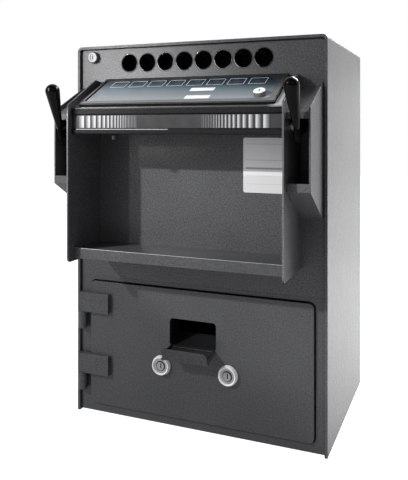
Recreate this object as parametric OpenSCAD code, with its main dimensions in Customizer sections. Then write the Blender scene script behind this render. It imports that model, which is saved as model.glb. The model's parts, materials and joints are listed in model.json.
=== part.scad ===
// Cash dispensing safe: a plate cabinet with a vault door below, a change bay with a sloped keypad
// console above, eight round loading holes and a release lever at each side.
// Z is up, the front faces -Y and the origin is on the floor at the middle of the anchor holes.

/* [Cabinet] */
// Overall width
body_w = 540; // [520:5:620]
// Overall depth without the console
body_d = 382; // [360:2:440]
// Overall height
body_h = 780; // [775:5:860]
// Plate thickness of the shell
wall_t = 6; // [5:0.5:7]
// Radius of the two long top edges
corner_r = 10; // [8:0.5:14]
// Thickness of the floor plate
base_t = 6; // [5:0.5:8]
// Thickness of the front plate
front_t = 6; // [5:0.5:8]
// Set-back of the front plate behind the shell's lip
recess = 6; // [5:0.5:7]
// Open seam between the front plate and the shell
seam = 1; // [0.5:0.1:2]
// Height at which the front plate starts
front_z = 3; // [2:0.5:6]
// Rise of the vault roof above the door
roof_up = 19; // [15:1:30]
// Thickness of the vault roof
roof_t = 4; // [3:0.5:6]

/* [Floor anchors and cable entry] */
// Distance between the anchor holes across the cabinet
anchor_x = 400; // [300:5:460]
// Distance between the anchor holes from front to back
anchor_y = 250; // [200:5:290]
// Diameter of each anchor hole
anchor_d = 14; // [10:0.5:18]
// Diameter of the cable hole in the back
cable_hole_d = 30; // [24:1:36]
// Diameter of the grommet's bore
cable_bore_d = 18; // [12:1:20]
// Place of the cable hole to the right of the middle
cable_x = 150; // [100:5:180]
// Height of the cable hole above the vault roof
cable_rise = 90; // [60:5:120]

/* [Vault door] */
// Height of the door's lower edge
door_z = 22; // [20:1:26]
// Height of the door
door_h = 259; // [250:1:262]
// Thickness of the door plate
door_t = 12; // [10:0.5:14]
// Corner radius of the door
door_r = 10; // [6:1:14]
// Front frame width on the hinge side
jamb_left = 33; // [31:0.5:40]
// Front frame width on the bolt side
jamb_right = 25.5; // [24:0.5:30]
// Gap between the door and the front plate
door_gap = 2.2; // [2:0.1:3]

/* [Hinges] */
// Radius of the hinge barrels
barrel_r = 9.5; // [8:0.1:9.8]
// Radius of the hinge pins
pin_r = 5; // [4:0.1:6]
// Distance of the hinge axis in front of the lip
axis_out = 4; // [3.8:0.1:5]
// Thickness of each hinge strap
strap_t = 10; // [8:0.5:12]
// Reach of each strap from the hinge axis
strap_reach = 66; // [50:1:80]
// Lower end of the upper strap
strap_upper_z = 216; // [200:1:225]
// Lower end of the lower strap
strap_lower_z = 86; // [70:1:100]
// Height of each strap
strap_h = 41; // [34:1:46]
// Height of each barrel below its strap
barrel_h = 36; // [28:1:40]

/* [Door locks] */
// Distance of each lock from the middle
lock_x = 72; // [66:1:80]
// Shift of both locks to the right of the door's middle
lock_shift = 4; // [0:0.5:6]
// Height of the locks
lock_z = 124.5; // [120:0.5:128]
// Diameter of the collars
collar_d = 40; // [36:0.5:44]
// Depth of the collars
collar_t = 9; // [6:0.5:11]
// Diameter of the lock bodies
lock_body_d = 29; // [26:0.5:30]
// Diameter of the turning plugs
plug_d = 18; // [14:0.5:20]
// Distance of the crank pin from the plug's axis
crank_r = 20; // [18:0.5:21]
// Height of each bolt bar
bolt_h = 20; // [18:0.5:21]
// Thickness of each bolt bar
bolt_t = 8; // [6:0.5:9]
// Thickness of the bolts' heads
head_t = 14; // [10:0.5:15]
// Length of the bolts' heads
head_l = 32; // [24:1:36]
// Length of each guide along the bolt
guide_w = 12; // [8:1:16]
// Thickness of the guides round the bolts
guide_t = 2.7; // [2:0.1:4]
// Height of the lock nuts
nut_t = 4.5; // [3:0.1:5]
// Thickness of the cranks
cam_t = 3; // [2:0.5:4]
// How far the drawn-back bolts stay inside the door's edge
bolt_setback = 12.5; // [12:0.5:16]

/* [Outlet] */
// Width of the outlet in the door
outlet_w = 100; // [80:1:110]
// Height of the outlet's lower edge
outlet_z = 166; // [162:1:170]
// Height of the outlet
outlet_h = 56; // [46:1:60]
// Corner radius of the outlet
outlet_r = 7; // [4:0.5:10]
// Sheet thickness of the scoop and the chute
scoop_t = 2; // [1.5:0.1:2.5]
// Reach of the scoop's floor in front of the door
scoop_reach = 36.5; // [30:0.5:40]
// Share of the front plate's rise that the end gussets reach
gusset_share = 0.5; // [0.3:0.05:0.8]
// Drop of the scoop's floor at its front
scoop_drop = 14; // [10:0.5:16]
// Rise of the scoop's front plate
scoop_rise = 25; // [20:0.5:30]
// Forward lean of the scoop's front plate
scoop_lean = 12.5; // [8:0.5:16]
// Depth of the chute behind the door
chute_d = 38; // [30:1:44]
// Rise of the chute's ramp
chute_rise = 16; // [10:1:20]

/* [Loading holes and columns] */
// Number of columns
columns = 8; // [6:1:8]
// Spacing of the columns
pitch = 41.8; // [41.4:0.1:42.4]
// Outer diameter of the loading sleeves
sleeve_d = 37.8; // [36:0.1:38]
// Wall of the loading sleeves
sleeve_t = 1; // [0.8:0.1:1.5]
// Length of the loading sleeves
sleeve_l = 45; // [30:1:60]
// How far the sleeves stand out of the front plate
sleeve_out = 0.6; // [0.3:0.1:2]
// Drop of the holes' centres below the top
hole_drop = 38; // [32:0.5:42]
// Thickness of the sheet between columns
divider_t = 2; // [1.5:0.1:2.4]
// Depth of the columns
column_d = 173; // [150:1:190]
// Height of each delivery port
port_h = 42; // [40:0.5:44]
// Rise of the delivery ports above the console's lower edge
port_up = 5; // [3:0.5:8]
// Rise of the ramp from front to back
ramp_rise = 60; // [40:1:70]

/* [Change bay] */
// Reach of the cheeks in front of the lip
cheek_reach = 115; // [105:1:125]
// Thickness of the cheeks
cheek_t = 3; // [2:0.5:4]
// Depth of the cheeks below the shelf's top face
cheek_down = 23.5; // [20:0.5:30]
// Radius of the cheeks' lower front corner
cheek_r = 9; // [5:0.5:14]
// Rise of the shelf's top face above the vault roof's underside
shelf_up = 66; // [50:1:80]
// Thickness of the shelf sheet
shelf_t = 3; // [2:0.5:4]
// Reach of the shelf in front of the lip
shelf_reach = 95; // [85:1:100]
// Height of the shelf's front flange
flange_h = 21; // [15:1:26]
// Rise of the front flange above the shelf
flange_up = 3.5; // [2:0.5:6]

/* [Console] */
// Reach of the console in front of the lip
console_reach = 103; // [98:1:106]
// Drop of the cover's front edge below the top of the cabinet
console_drop = 133; // [128:1:138]
// Height of the console's front
console_h = 52; // [50:0.5:56]
// Slope of the cover in degrees
slope = 27.8; // [24:0.2:28]
// Thickness of the cover
cover_t = 3; // [2:0.5:4]
// Length of the cheeks' top that is cut off at the front plate
cheek_cut = 18; // [10:1:26]
// How far the cheeks stand above the cover
cheek_up = 12.8; // [6:0.2:16]
// Depth of the rails round the stripe panel
rail_t = 3; // [2:0.5:4]
// Height of the upper rail
rail_upper_h = 10.5; // [6:0.5:11]
// Height of the lower rail
rail_lower_h = 9.5; // [7:0.5:12]
// Thickness of the stripe panel
stripe_t = 1.2; // [0.8:0.1:1.8]

/* [Keypad] */
// Distance of the keypad frame from the cheeks
pad_side = 17; // [14:0.5:24]
// Thickness of the keypad frame
pad_t = 7; // [6:0.5:9]
// Set-back of the frame from the cover's front
pad_front = 1.5; // [1:0.1:4]
// Border of the frame round the overlay
pad_border = 12; // [3:0.5:16]
// Thickness of the overlay
overlay_t = 1.2; // [0.8:0.1:1.6]
// Distance of the first key field from the left edge of the film
key_left = 20.5; // [12:0.5:26]
// Distance of the last key field from the right edge of the film
key_right = 24; // [16:0.5:36]
// Gap between the key fields
key_gap = 8.8; // [4:0.1:12]
// Length of each key field up the slope
key_l = 27; // [20:0.5:30]
// Distance of the key fields' middle from the front edge, up the slope
key_y = 89; // [84:0.5:94]
// Rise of the key fields and labels
key_up = 0.4; // [0.2:0.1:0.8]
// Width of the two bare labels
label_w = 50; // [30:1:60]
// Length of the two bare labels up the slope
label_l = 14; // [10:0.5:16]
// Place of the labels to the right of the middle
label_x = 45.5; // [20:0.5:60]
// Distance of the lower label from the front edge, up the slope
label_y = 22; // [21:0.5:24]
// Spacing of the two labels up the slope
label_pitch = 34; // [28:0.5:36]
// Radius of the key switch
switch_r = 11.4; // [9:0.1:12.4]
// Height of the key switch above the keypad frame
switch_up = 10; // [4:0.5:12]
// Depth of the key switch's body below the cover
switch_down = 22; // [16:1:24]
// Distance of the key switch from the right edge of the film
switch_in = 20; // [14:0.5:30]
// Distance of the key switch from the front edge, up the slope
switch_y = 26; // [24:0.5:30]

/* [Wings and levers] */
// Width of each wing
wing_w = 42; // [38:0.5:48]
// Reach of the wings in front of the lip
wing_reach = 97; // [90:1:100]
// Sheet thickness of the wings
wing_t = 3; // [2:0.5:3.5]
// Depth of the wing opening below the lever shaft
wing_open_down = 101; // [96:1:106]
// Rise of the wing opening above the lever shaft
wing_open_up = 11; // [8:0.5:14]
// Height of the wing's upper front flange
wing_flange_up = 11; // [8:1:16]
// How far the wing's side sheet stands above its top
wing_side_up = 8; // [4:0.5:10]
// Height of the wing's lower front flange
wing_flange_low = 15; // [10:1:20]
// Rise of the wing's top from front to back
wing_rise = 50; // [40:1:56]
// Fall of the wing's underside from front to back
wing_fall = 60; // [40:1:70]
// Clearance between the wing and the shell's lip
wing_gap = 3; // [2:0.5:5]
// Reach of the lever shaft in front of the lip
shaft_reach = 62; // [60:0.5:64]
// Rise of the lever shaft above the console's lower edge
shaft_up = 17; // [15:0.5:19]
// Radius of the lever shaft
shaft_r = 8; // [7:0.1:9]
// Radius of the shaft bushes
bush_r = 12; // [11:0.5:13]
// Thickness of each lever arm
arm_t = 8; // [6:0.5:10]
// Reach of the handle's foot in front of the lip
foot_reach = 108; // [106:0.5:112]
// Drop of the handle's foot below the lever shaft
foot_down = 7; // [4:0.5:10]
// Forward lean of the handles in degrees
lean = 20.3; // [12:0.1:24]
// Lean of the handles towards the middle in degrees
lean_in = 2; // [0:0.1:3]
// Radius of the handle at its foot
handle_foot_r = 5.5; // [5:0.1:6]
// Radius of the handle's head
handle_head_r = 14; // [10:0.5:15]
// Length of each handle
handle_l = 92; // [80:1:100]

/* [Rating plate and upper lock] */
// Width of the bare rating plate
plate_w = 91; // [70:1:96]
// Height of the bare rating plate
plate_h = 106; // [80:1:110]
// Distance of the plate's right edge from the cheek
plate_in = 20; // [12:0.5:30]
// Drop of the plate's upper edge below the console
plate_drop = 7; // [5:0.5:20]
// Corner radius of the rating plate
plate_r = 4; // [2:0.5:8]
// Thickness of the rating plate
plate_t = 0.8; // [0.5:0.1:1.2]
// Radius of the upper lock's face
upper_lock_r = 12.5; // [11:0.1:13.5]
// Inset of the upper lock from the side
upper_lock_in = 38; // [34:0.5:42]
// Drop of the upper lock below the top
upper_lock_drop = 23; // [21:0.5:26]

/* [Hidden] */
$fn = 48;

// Keyways and circuit boards
keyway_w = 1.8;
key_depth = 6;
board_t = 1.6;

// Cut allowance past a face
cut = 1;
// Radial clearance of a running fit
run = 0.05;
// Gap between parts that sit in each other
fit = 0.1;
// Gap between parts that slide past each other
slide = 0.3;

// Colours
charcoal = "#46484b";
dark = "#2a2b2d";
black = "#151516";
steel = "#b9bcc0";
bright = "#dfe2e4";
overlay_blue = "#7f98a8";
plate_grey = "#e9eaea";
board_green = "#24543a";
zinc = "#9fa3a6";

// Heights of the vault, the console and the levers
door_top = door_z + door_h;
roof_z = door_top + roof_up;
shelf_z = roof_z + shelf_up;
cheek_z = shelf_z - cheek_down;
cover_z = body_h - console_drop;
console_z = cover_z - console_h;
port_z = console_z + port_up;
shaft_z = console_z + shaft_up;
foot_z = shaft_z - foot_down;

// Faces measured from the lip's front plane, y growing to the back
front_y = recess;
front_back = recess + front_t;
back_in = body_d - wall_t;
side_in = body_w / 2 - wall_t;
top_in = body_h - wall_t;
front_w = 2 * (side_in - seam);
wing_out = side_in - wing_gap;
cheek_out = wing_out - wing_w;
cheek_in = cheek_out - cheek_t;
lever_x = wing_out - wing_w / 2;

// Door
door_left = -body_w / 2 + jamb_left;
door_right = body_w / 2 - jamb_right;
door_w = door_right - door_left;
frame_top = door_top + door_gap + 8;
hinge_x = -side_in + barrel_r - slide - 0.2;
hinge_y = -axis_out;
knuckle_r = barrel_r - 0.2;
pin_foot = 6;
pin_up = strap_h * 0.6;
pin_bore_up = strap_h * 0.75;

// Lock works behind the door
lock_body_back = door_t + nut_t + 1.5;
lock_face = collar_t - 3;
plug_face = collar_t - 4;
bar_y = door_t + bolt_t;
cam_y = bar_y + bolt_t + 0.4;
tail_r = 5;
tail_square = tail_r - 1;
crank_w = 10;
crank_hub_r = tail_r + 3;
crank_pin_r = 3;
crank_turn = 90;
slot_play = 1.1;
function lock_at(i) = i * lock_x + lock_shift;
bolt_low = crank_r * cos(crank_turn / 2) - crank_pin_r - 4;
bolt_end = door_right - bolt_setback;
guide_post = guide_t + 2.3;
guide_inner = 47.5;
guide_outer = 60;
guide_places = [lock_at(1) + guide_inner, door_right - guide_outer];
slot_wall = 3;

// Columns
hole_z = body_h - hole_drop;
head_z = hole_z - sleeve_d / 2 - 22;
rack_w = columns * pitch;
rack_out = (rack_w + divider_t) / 2;
rack_top = top_in - 8;
rack_back = front_back + column_d;
port_w = pitch - divider_t - 2;
ramp_t = 3;
function column_x(i) = (i - (columns - 1) / 2) * pitch;

// Console
cover_rise = cover_t / cos(slope);
function cover_at(y) = cover_z + (y + console_reach) * tan(slope);
slope_l = (console_reach + front_y) / cos(slope);
panel_back = -console_reach + 2 * rail_t;
panel_low = console_z + rail_lower_h;
panel_top = cover_z - cover_rise - rail_upper_h;
pad_w = 2 * (cheek_in - pad_side);
pad_l = slope_l - pad_front - 0.8;
pad_mid = pad_front + pad_l / 2;
overlay_w = pad_w - 2 * pad_border;
overlay_l = pad_l - 2 * pad_border;
key_pitch = (overlay_w - key_left - key_right + key_gap) / columns;
key_w = key_pitch - key_gap;
first_key_x = -overlay_w / 2 + key_left + key_w / 2;
label_shift = 2;
switch_x = overlay_w / 2 - switch_in;
switch_body_r = switch_r - 3;
switch_plug_r = switch_r - 6;
switch_top = pad_t + switch_up;
pocket_x = -16;
pocket_w = pad_w - 70;
pocket_l = pad_l - 24;
pocket_play = 5;
contact_r = 4;
contact_t = 1.6;

// Levers
shaft_end = lever_x + arm_t / 2;
foot_y = -foot_reach;
neck_l = handle_l - handle_head_r;
bar_h = 14;
bar_drop = 12;
boss_l = 20;
stud_r = 3;
stud_in = 18;
stud_head_r = 4.5;
stud_head_t = 3;
end_screw_r = 6;
end_screw_t = 2.4;
collar_wall = 4;
gate_hub_w = 20;
gate_hub_r = shaft_r + 3.5;
gate_w = 30;
gate_t = 3;
gate_up = 20;
gate_down = 12;
gate_back = front_y - 10;
spring_wire_r = 1.25;
spring_r = shaft_r + spring_wire_r + 0.35;
spring_turns = 6;
spring_l = 20;
bush_in = 4;
spring_x = cheek_in - bush_in - spring_l - spring_wire_r - 1;

// Upper lock
upper_lock_x = -body_w / 2 + upper_lock_in;
upper_lock_z = body_h - upper_lock_drop;
upper_plug_r = 6;
upper_barrel_r = upper_lock_r - 3;
upper_face_y = front_y - 8;
upper_lock_back = front_back + 11;
upper_cam_t = 3;
upper_cam_l = 28;

// Everything is drawn from the lip's plane and moved so that the origin is mid-floor
module from_front() translate([0, -body_d / 2, 0]) children();

// Frame lying on the cover: x across, y up the slope, z out of the cover
module on_cover() translate([0, -console_reach, cover_z]) rotate([slope, 0, 0]) children();

// A profile drawn as (y, z) and given a width from x0 to x1
module across(x0, x1) translate([x0, 0, 0]) rotate([90, 0, 90]) linear_extrude(x1 - x0) children();

// A profile drawn as (x, z) and given a depth from y0 to y1
module deep(y0, y1) translate([0, y1, 0]) rotate([90, 0, 0]) linear_extrude(y1 - y0) children();

// A rod along x, y or z
module rod_x(r, x0, x1) translate([x0, 0, 0]) rotate([0, 90, 0]) cylinder(r = r, h = x1 - x0);
module rod_y(r, y0, y1) translate([0, y1, 0]) rotate([90, 0, 0]) cylinder(r = r, h = y1 - y0);
module rod_z(r, z0, z1) translate([0, 0, z0]) cylinder(r = r, h = z1 - z0);

// A rectangle with four round corners
module round_rect(w, h, r) {
    square([w - 2 * r, h], center = true);
    square([w, h - 2 * r], center = true);
    for (i = [-1, 1], j = [-1, 1]) translate([i * (w / 2 - r), j * (h / 2 - r)]) circle(r);
}

// An outline with a plain foot and two round top corners
module arch(w, z0, z1, r) {
    translate([-w / 2, z0]) square([w, z1 - z0 - r]);
    translate([-w / 2 + r, z0]) square([w - 2 * r, z1 - z0]);
    for (i = [-1, 1]) translate([i * (w / 2 - r), z1 - r]) circle(r);
}

// Points of an arc, for the corner of a sheet outline
function arc(cx, cy, r, a0, a1, n) =
    [for (i = [0 : n]) let (a = a0 + (a1 - a0) * i / n) [cx + r * cos(a), cy + r * sin(a)]];

// Both sides of the object
module both() {
    children();
    mirror([1, 0, 0]) children();
}

// Cabinet

// One sheet bent round the sides and the top, open at the floor, front and back
module shell() color(charcoal) from_front() difference() {
    deep(0, body_d) arch(body_w, 0, body_h, corner_r);
    deep(-cut, body_d + cut) arch(body_w - 2 * wall_t, -cut, top_in, corner_r - wall_t);
}

module back_plate() color(charcoal) from_front() difference() {
    deep(back_in, body_d) arch(2 * side_in, 0, top_in, corner_r - wall_t);
    at_cable() rod_y(cable_hole_d / 2, back_in - cut, body_d + cut);
}

module base_plate() color(charcoal) from_front() difference() {
    translate([-side_in, front_back, 0]) cube([2 * side_in, back_in - front_back, base_t]);
    for (i = [-1, 1], j = [-1, 1])
        translate([i * anchor_x / 2, body_d / 2 + j * anchor_y / 2, 0])
            rod_z(anchor_d / 2, -cut, base_t + cut);
}

// The front is three plates butted in one plane: a head with the loading holes, a middle with the
// delivery ports and a frame round the vault door
module front_head() color(charcoal) from_front() deep(front_y, front_back) difference() {
    arch(front_w, head_z, top_in - seam, corner_r - wall_t + 2);
    for (i = [0 : columns - 1]) translate([column_x(i), hole_z]) circle(sleeve_d / 2 + fit);
    translate([upper_lock_x, upper_lock_z]) circle(upper_barrel_r + fit);
}

module front_middle() color(charcoal) from_front() deep(front_y, front_back) difference() {
    translate([-front_w / 2, frame_top]) square([front_w, head_z - frame_top]);
    for (i = [0 : columns - 1]) translate([column_x(i) - port_w / 2, port_z]) square([port_w, port_h]);
}

module front_frame() color(charcoal) from_front() deep(front_y, front_back) difference() {
    translate([-front_w / 2, front_z]) square([front_w, frame_top - front_z]);
    translate([(door_left + door_right) / 2, (door_z + door_top) / 2])
        round_rect(door_w + 2 * door_gap, door_h + 2 * door_gap, door_r + door_gap);
}

module vault_roof() color(charcoal) from_front()
    translate([-side_in, front_back, roof_z]) cube([2 * side_in, back_in - front_back, roof_t]);

module at_cable() translate([cable_x, 0, roof_z + cable_rise]) children();

// Rubber grommet with a flange inside the back plate
module cable_grommet() color(black) from_front() at_cable() difference() {
    flange_t = 2.5;
    union() {
        rod_y(cable_hole_d / 2 - fit, back_in - flange_t, body_d);
        rod_y(cable_hole_d / 2 + 3, back_in - flange_t, back_in - fit);
    }
    rod_y(cable_bore_d / 2, back_in - flange_t - cut, body_d + cut);
}

// Vault door

module door_plate() color(charcoal) from_front() difference() {
    deep(0, door_t) translate([(door_left + door_right) / 2, (door_z + door_top) / 2])
        round_rect(door_w, door_h, door_r);
    deep(-cut, door_t + cut) {
        translate([0, outlet_z + outlet_h / 2]) round_rect(outlet_w, outlet_h, outlet_r);
        for (i = [-1, 1]) translate([lock_at(i), lock_z]) circle(lock_body_d / 2 + fit);
    }
}

// Sheet scoop: sloping floor, raised front plate and a gusset at each end
scoop_w = outlet_w - 4;
scoop_front = [for (p = [[0, 0], [-scoop_lean, scoop_rise]])
    [p[0] - scoop_reach, p[1] + outlet_z - scoop_drop]];
module scoop_floor_outline() polygon([
    [0, outlet_z], scoop_front[0], scoop_front[0] + [0, -scoop_t], [0, outlet_z - scoop_t]]);
module scoop_plate_outline() polygon([
    scoop_front[0] + [0, -scoop_t], scoop_front[0] + [scoop_t, 0],
    scoop_front[1] + [scoop_t, 0], scoop_front[1], scoop_front[0] + [-0.8, -scoop_t]]);
module outlet_scoop() color(charcoal) from_front() {
    across(-scoop_w / 2, scoop_w / 2) scoop_floor_outline();
    difference() {
        across(-scoop_w / 2, scoop_w / 2) scoop_plate_outline();
        both() scoop_corner_cut();
    }
    both() across(scoop_w / 2 - scoop_t, scoop_w / 2)
        polygon([[0, outlet_z - scoop_t], scoop_front[0] + [0, -scoop_t],
                 scoop_front[0] + [-scoop_lean, scoop_rise] * gusset_share, [0, outlet_z + 3]]);
}
// Bevelled upper corner of the scoop's front plate
module scoop_corner_cut() {
    bevel = 7;
    translate([scoop_w / 2, 0, outlet_z - scoop_drop + scoop_rise]) rotate([0, 45, 0])
        cube([bevel, 4 * scoop_reach, bevel], center = true);
}

// Chute behind the outlet: ramp, two sides and a roof
module outlet_chute() color(black) from_front() {
    chute_in = outlet_w / 2 + 1;
    chute_out = chute_in + scoop_t;
    chute_back = door_t + chute_d;
    chute_top = outlet_z + outlet_h + 2;
    across(-chute_out, chute_out) polygon([
        [door_t, outlet_z - scoop_t], [chute_back, outlet_z - scoop_t + chute_rise],
        [chute_back, outlet_z + chute_rise], [door_t, outlet_z]]);
    across(-chute_out, chute_out) translate([door_t, chute_top]) square([chute_d, scoop_t]);
    both() across(chute_in, chute_out) polygon([
        [door_t, outlet_z - scoop_t], [chute_back, outlet_z - scoop_t + chute_rise],
        [chute_back, chute_top + scoop_t], [door_t, chute_top + scoop_t]]);
}

// Hinges: a strap with a knuckle on the door, a barrel with a pin on the cabinet

module strap_at(z) translate([hinge_x, hinge_y, z]) difference() {
    union() {
        translate([0, axis_out - strap_t, 0]) cube([strap_reach, strap_t, strap_h]);
        intersection() {
            rod_z(knuckle_r, 0, strap_h);
            translate([-2 * barrel_r, axis_out - strap_t, -cut])
                cube([3 * barrel_r, strap_t + barrel_r, strap_h + 2 * cut]);
        }
    }
    rod_z(pin_r + run, -cut, pin_bore_up);
}
module hinge_straps() color(charcoal) from_front() for (z = [strap_upper_z, strap_lower_z]) strap_at(z);

module barrel_at(z) translate([hinge_x, hinge_y, z - barrel_h]) difference() {
    union() {
        rod_z(barrel_r, 0, barrel_h - slide);
        translate([-barrel_r / 2, 0, 0]) cube([barrel_r, axis_out + front_y, barrel_h - slide]);
    }
    rod_z(pin_r + run, pin_foot, barrel_h + cut);
}
module hinge_barrels() color(charcoal) from_front() for (z = [strap_upper_z, strap_lower_z]) barrel_at(z);

module hinge_pins() color(steel) from_front() for (z = [strap_upper_z, strap_lower_z])
    translate([hinge_x, hinge_y, z]) rod_z(pin_r, pin_foot - barrel_h, pin_up);

// Door locks

module at_locks() for (i = [-1, 1]) translate([lock_at(i), 0, lock_z]) children();

module lock_collars() color(bright) from_front() at_locks() rotate([90, 0, 0]) rotate_extrude() polygon([
    [lock_body_d / 2 + fit, 0], [collar_d / 2, 0], [collar_d / 2, collar_t * 0.35],
    [collar_d / 2 - 2.2, collar_t], [collar_d / 2 - 3.6, collar_t], [lock_body_d / 2 + fit, collar_t - 2]]);

module lock_bodies() color(steel) from_front() at_locks() difference() {
    rod_y(lock_body_d / 2, -lock_face, lock_body_back);
    rod_y(plug_d / 2 + run, -collar_t - cut, lock_body_back + cut);
}

module lock_nuts() color(zinc) from_front() at_locks() difference() {
    rotate([90, 0, 0]) translate([0, 0, -door_t - nut_t]) cylinder(d = collar_d, h = nut_t, $fn = 6);
    rod_y(lock_body_d / 2 + fit, 0, lock_body_back);
}

// Plug with a keyway, and the tail that carries the crank
module lock_plug() translate([0, 0, lock_z]) difference() {
    r = plug_d / 2;
    union() {
        rod_y(r, -plug_face, lock_body_back);
        rod_y(tail_r, lock_body_back, cam_y);
        translate([-tail_square, cam_y, -tail_square]) cube([2 * tail_square, cam_t, 2 * tail_square]);
    }
    translate([-keyway_w / 2, -plug_face - cut, -r * 0.55]) cube([keyway_w, key_depth + cut, r * 1.1]);
}
module lock_plug_left() color(bright) from_front() translate([lock_at(-1), 0, 0]) lock_plug();
module lock_plug_right() color(bright) from_front() translate([lock_at(1), 0, 0]) lock_plug();

// Crank on the plug's square end, its pin reaching forward into the bolt's slot
module crank(a) rotate([0, a, 0]) difference() {
    union() {
        rod_y(crank_hub_r, cam_y, cam_y + cam_t);
        translate([-crank_w / 2, cam_y, 0]) cube([crank_w, cam_t, crank_r]);
        translate([0, 0, crank_r]) rod_y(crank_w / 2, cam_y, cam_y + cam_t);
        translate([0, 0, crank_r]) rod_y(crank_pin_r, bar_y, cam_y + cut);
    }
    rotate([0, -a, 0]) translate([-tail_square - fit, cam_y - cut, -tail_square - fit])
        cube([2 * (tail_square + fit), cam_t + 2 * cut, 2 * (tail_square + fit)]);
}
module lock_cam_left() color(zinc) from_front()
    translate([lock_at(-1), 0, lock_z]) crank(180 + crank_turn / 2);
module lock_cam_right() color(zinc) from_front() translate([lock_at(1), 0, lock_z]) crank(-crank_turn / 2);

// Bolt bar drawn for the lock at x; up is 1 above the lock and -1 below it
module bolt(x, up) difference() {
    pin_x = x - crank_r * sin(crank_turn / 2);
    start = pin_x - crank_w - 4;
    low = up > 0 ? lock_z + bolt_low : lock_z - bolt_low - bolt_h;
    union() {
        translate([start, bar_y, low]) cube([bolt_end - start, bolt_t, bolt_h]);
        translate([bolt_end - head_l, bar_y + bolt_t - head_t, low]) cube([head_l, head_t, bolt_h]);
    }
    slot_w = 2 * (crank_pin_r + slot_play);
    translate([pin_x - slot_w / 2, bar_y - cut, low - up * slot_wall])
        cube([slot_w, bolt_t + 2 * cut, bolt_h]);
}
module bolt_left() color(steel) from_front() bolt(lock_at(-1), -1);
module bolt_right() color(steel) from_front() bolt(lock_at(1), 1);

// Closed guides on the back of the door, two to a bolt
module guide(x, low) translate([x - guide_w / 2, 0, low]) difference() {
    translate([0, door_t, -guide_post])
        cube([guide_w, bar_y + bolt_t + slide + guide_t - door_t, bolt_h + 2 * guide_post]);
    translate([-cut, bar_y - slide, -slide])
        cube([guide_w + 2 * cut, bolt_t + 2 * slide, bolt_h + 2 * slide]);
}
module bolt_guides() color(zinc) from_front() for (x = guide_places) {
    guide(x, lock_z + bolt_low);
    guide(x, lock_z - bolt_low - bolt_h);
}

// Change bay

cheek_top_z = cover_z + cheek_up - (cheek_reach - console_reach) * tan(slope);
module cheek_outline() difference() {
    polygon(concat(
        [[front_y, cheek_z]],
        arc(-cheek_reach + cheek_r, cheek_z + cheek_r, cheek_r, 270, 180, 6),
        arc(-cheek_reach + 3, cheek_top_z - 3, 3, 180, 90 + slope, 3),
        [[front_y - cheek_cut, cheek_top_z + (cheek_reach + front_y - cheek_cut) * tan(slope)],
         [front_y, cover_at(front_y)]]));
    translate([-shaft_reach, shaft_z]) circle(bush_r + fit);
}
module bay_cheek() across(cheek_in, cheek_out) cheek_outline();
module bay_cheek_right() color(charcoal) from_front() bay_cheek();
module bay_cheek_left() color(charcoal) mirror([1, 0, 0]) from_front() bay_cheek();

// Shelf sheet with a raised front flange and a rolled top edge
module bay_shelf() color(charcoal) from_front() across(-cheek_in, cheek_in) {
    translate([-shelf_reach, shelf_z - shelf_t]) square([shelf_reach + front_y, shelf_t]);
    translate([-shelf_reach, shelf_z + flange_up - flange_h]) square([shelf_t, flange_h - shelf_t / 2]);
    translate([-shelf_reach + shelf_t / 2, shelf_z + flange_up - shelf_t / 2]) circle(shelf_t / 2);
}

// Console

module console_front() color(dark) from_front() across(-cheek_in, cheek_in) difference() {
    lip = 14;
    polygon([
        [-console_reach + 1.2, console_z], [-console_reach, console_z + 1.2],
        [-console_reach, panel_low - 1], [-console_reach + 1, panel_low],
        [-console_reach + rail_t, panel_low], [-console_reach + rail_t, panel_top],
        [-console_reach + 0.8, panel_top], [-console_reach, panel_top + 0.8],
        [-console_reach, cover_at(-console_reach) - cover_rise],
        [panel_back, cover_at(panel_back) - cover_rise],
        [panel_back, console_z + rail_t], [panel_back + lip, console_z + rail_t],
        [panel_back + lip, console_z]]);
}

module stripe_panel() color(zinc) from_front() across(-cheek_in + 4, cheek_in - 4)
    translate([-console_reach + rail_t - stripe_t, panel_low + 2])
        square([stripe_t, panel_top - panel_low - 4]);

module console_cover() color(charcoal) from_front() difference() {
    across(-cheek_in, cheek_in) polygon([
        [-console_reach, cover_z - cover_rise], [-console_reach, cover_z - 1],
        [-console_reach + 1, cover_at(-console_reach + 1)],
        [front_y, cover_at(front_y)], [front_y, cover_at(front_y) - cover_rise]]);
    on_cover() translate([switch_x, switch_y, 0]) rod_z(switch_body_r + fit, -2 * cover_t, cover_t);
}

// Knurled screw under the console's lower lip
screw_in = 91;
screw_back = 7;
screw_r = 6;
screw_l = 11.5;
screw_neck = 2;
module thumb_screw() color(black) from_front()
    translate([-cheek_in + screw_in, panel_back + screw_back, 0]) {
        rod_z(screw_r, console_z - screw_l, console_z - screw_neck);
        rod_z(screw_r / 2, console_z - screw_neck, console_z);
    }

// Keypad

module pad_outline(w, l, r) translate([0, pad_mid]) round_rect(w, l, r);

module keypad_frame() color(black) from_front() on_cover() difference() {
    union() {
        linear_extrude(pad_t - 1.5) pad_outline(pad_w, pad_l, 3);
        translate([0, 0, pad_t - 1.5]) linear_extrude(1.5) pad_outline(pad_w - 2.4, pad_l - 2.4, 3);
    }
    translate([0, 0, pad_t - overlay_t]) linear_extrude(overlay_t + cut)
        pad_outline(overlay_w + 2 * fit, overlay_l + 2 * fit, 4);
    translate([0, 0, -cut]) linear_extrude(pad_t - overlay_t - 1.6 + cut)
        translate([pocket_x, pad_mid]) square([pocket_w, pocket_l], center = true);
    translate([switch_x, switch_y, 0]) rod_z(switch_body_r + fit, -cut, pad_t + cut);
}

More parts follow.
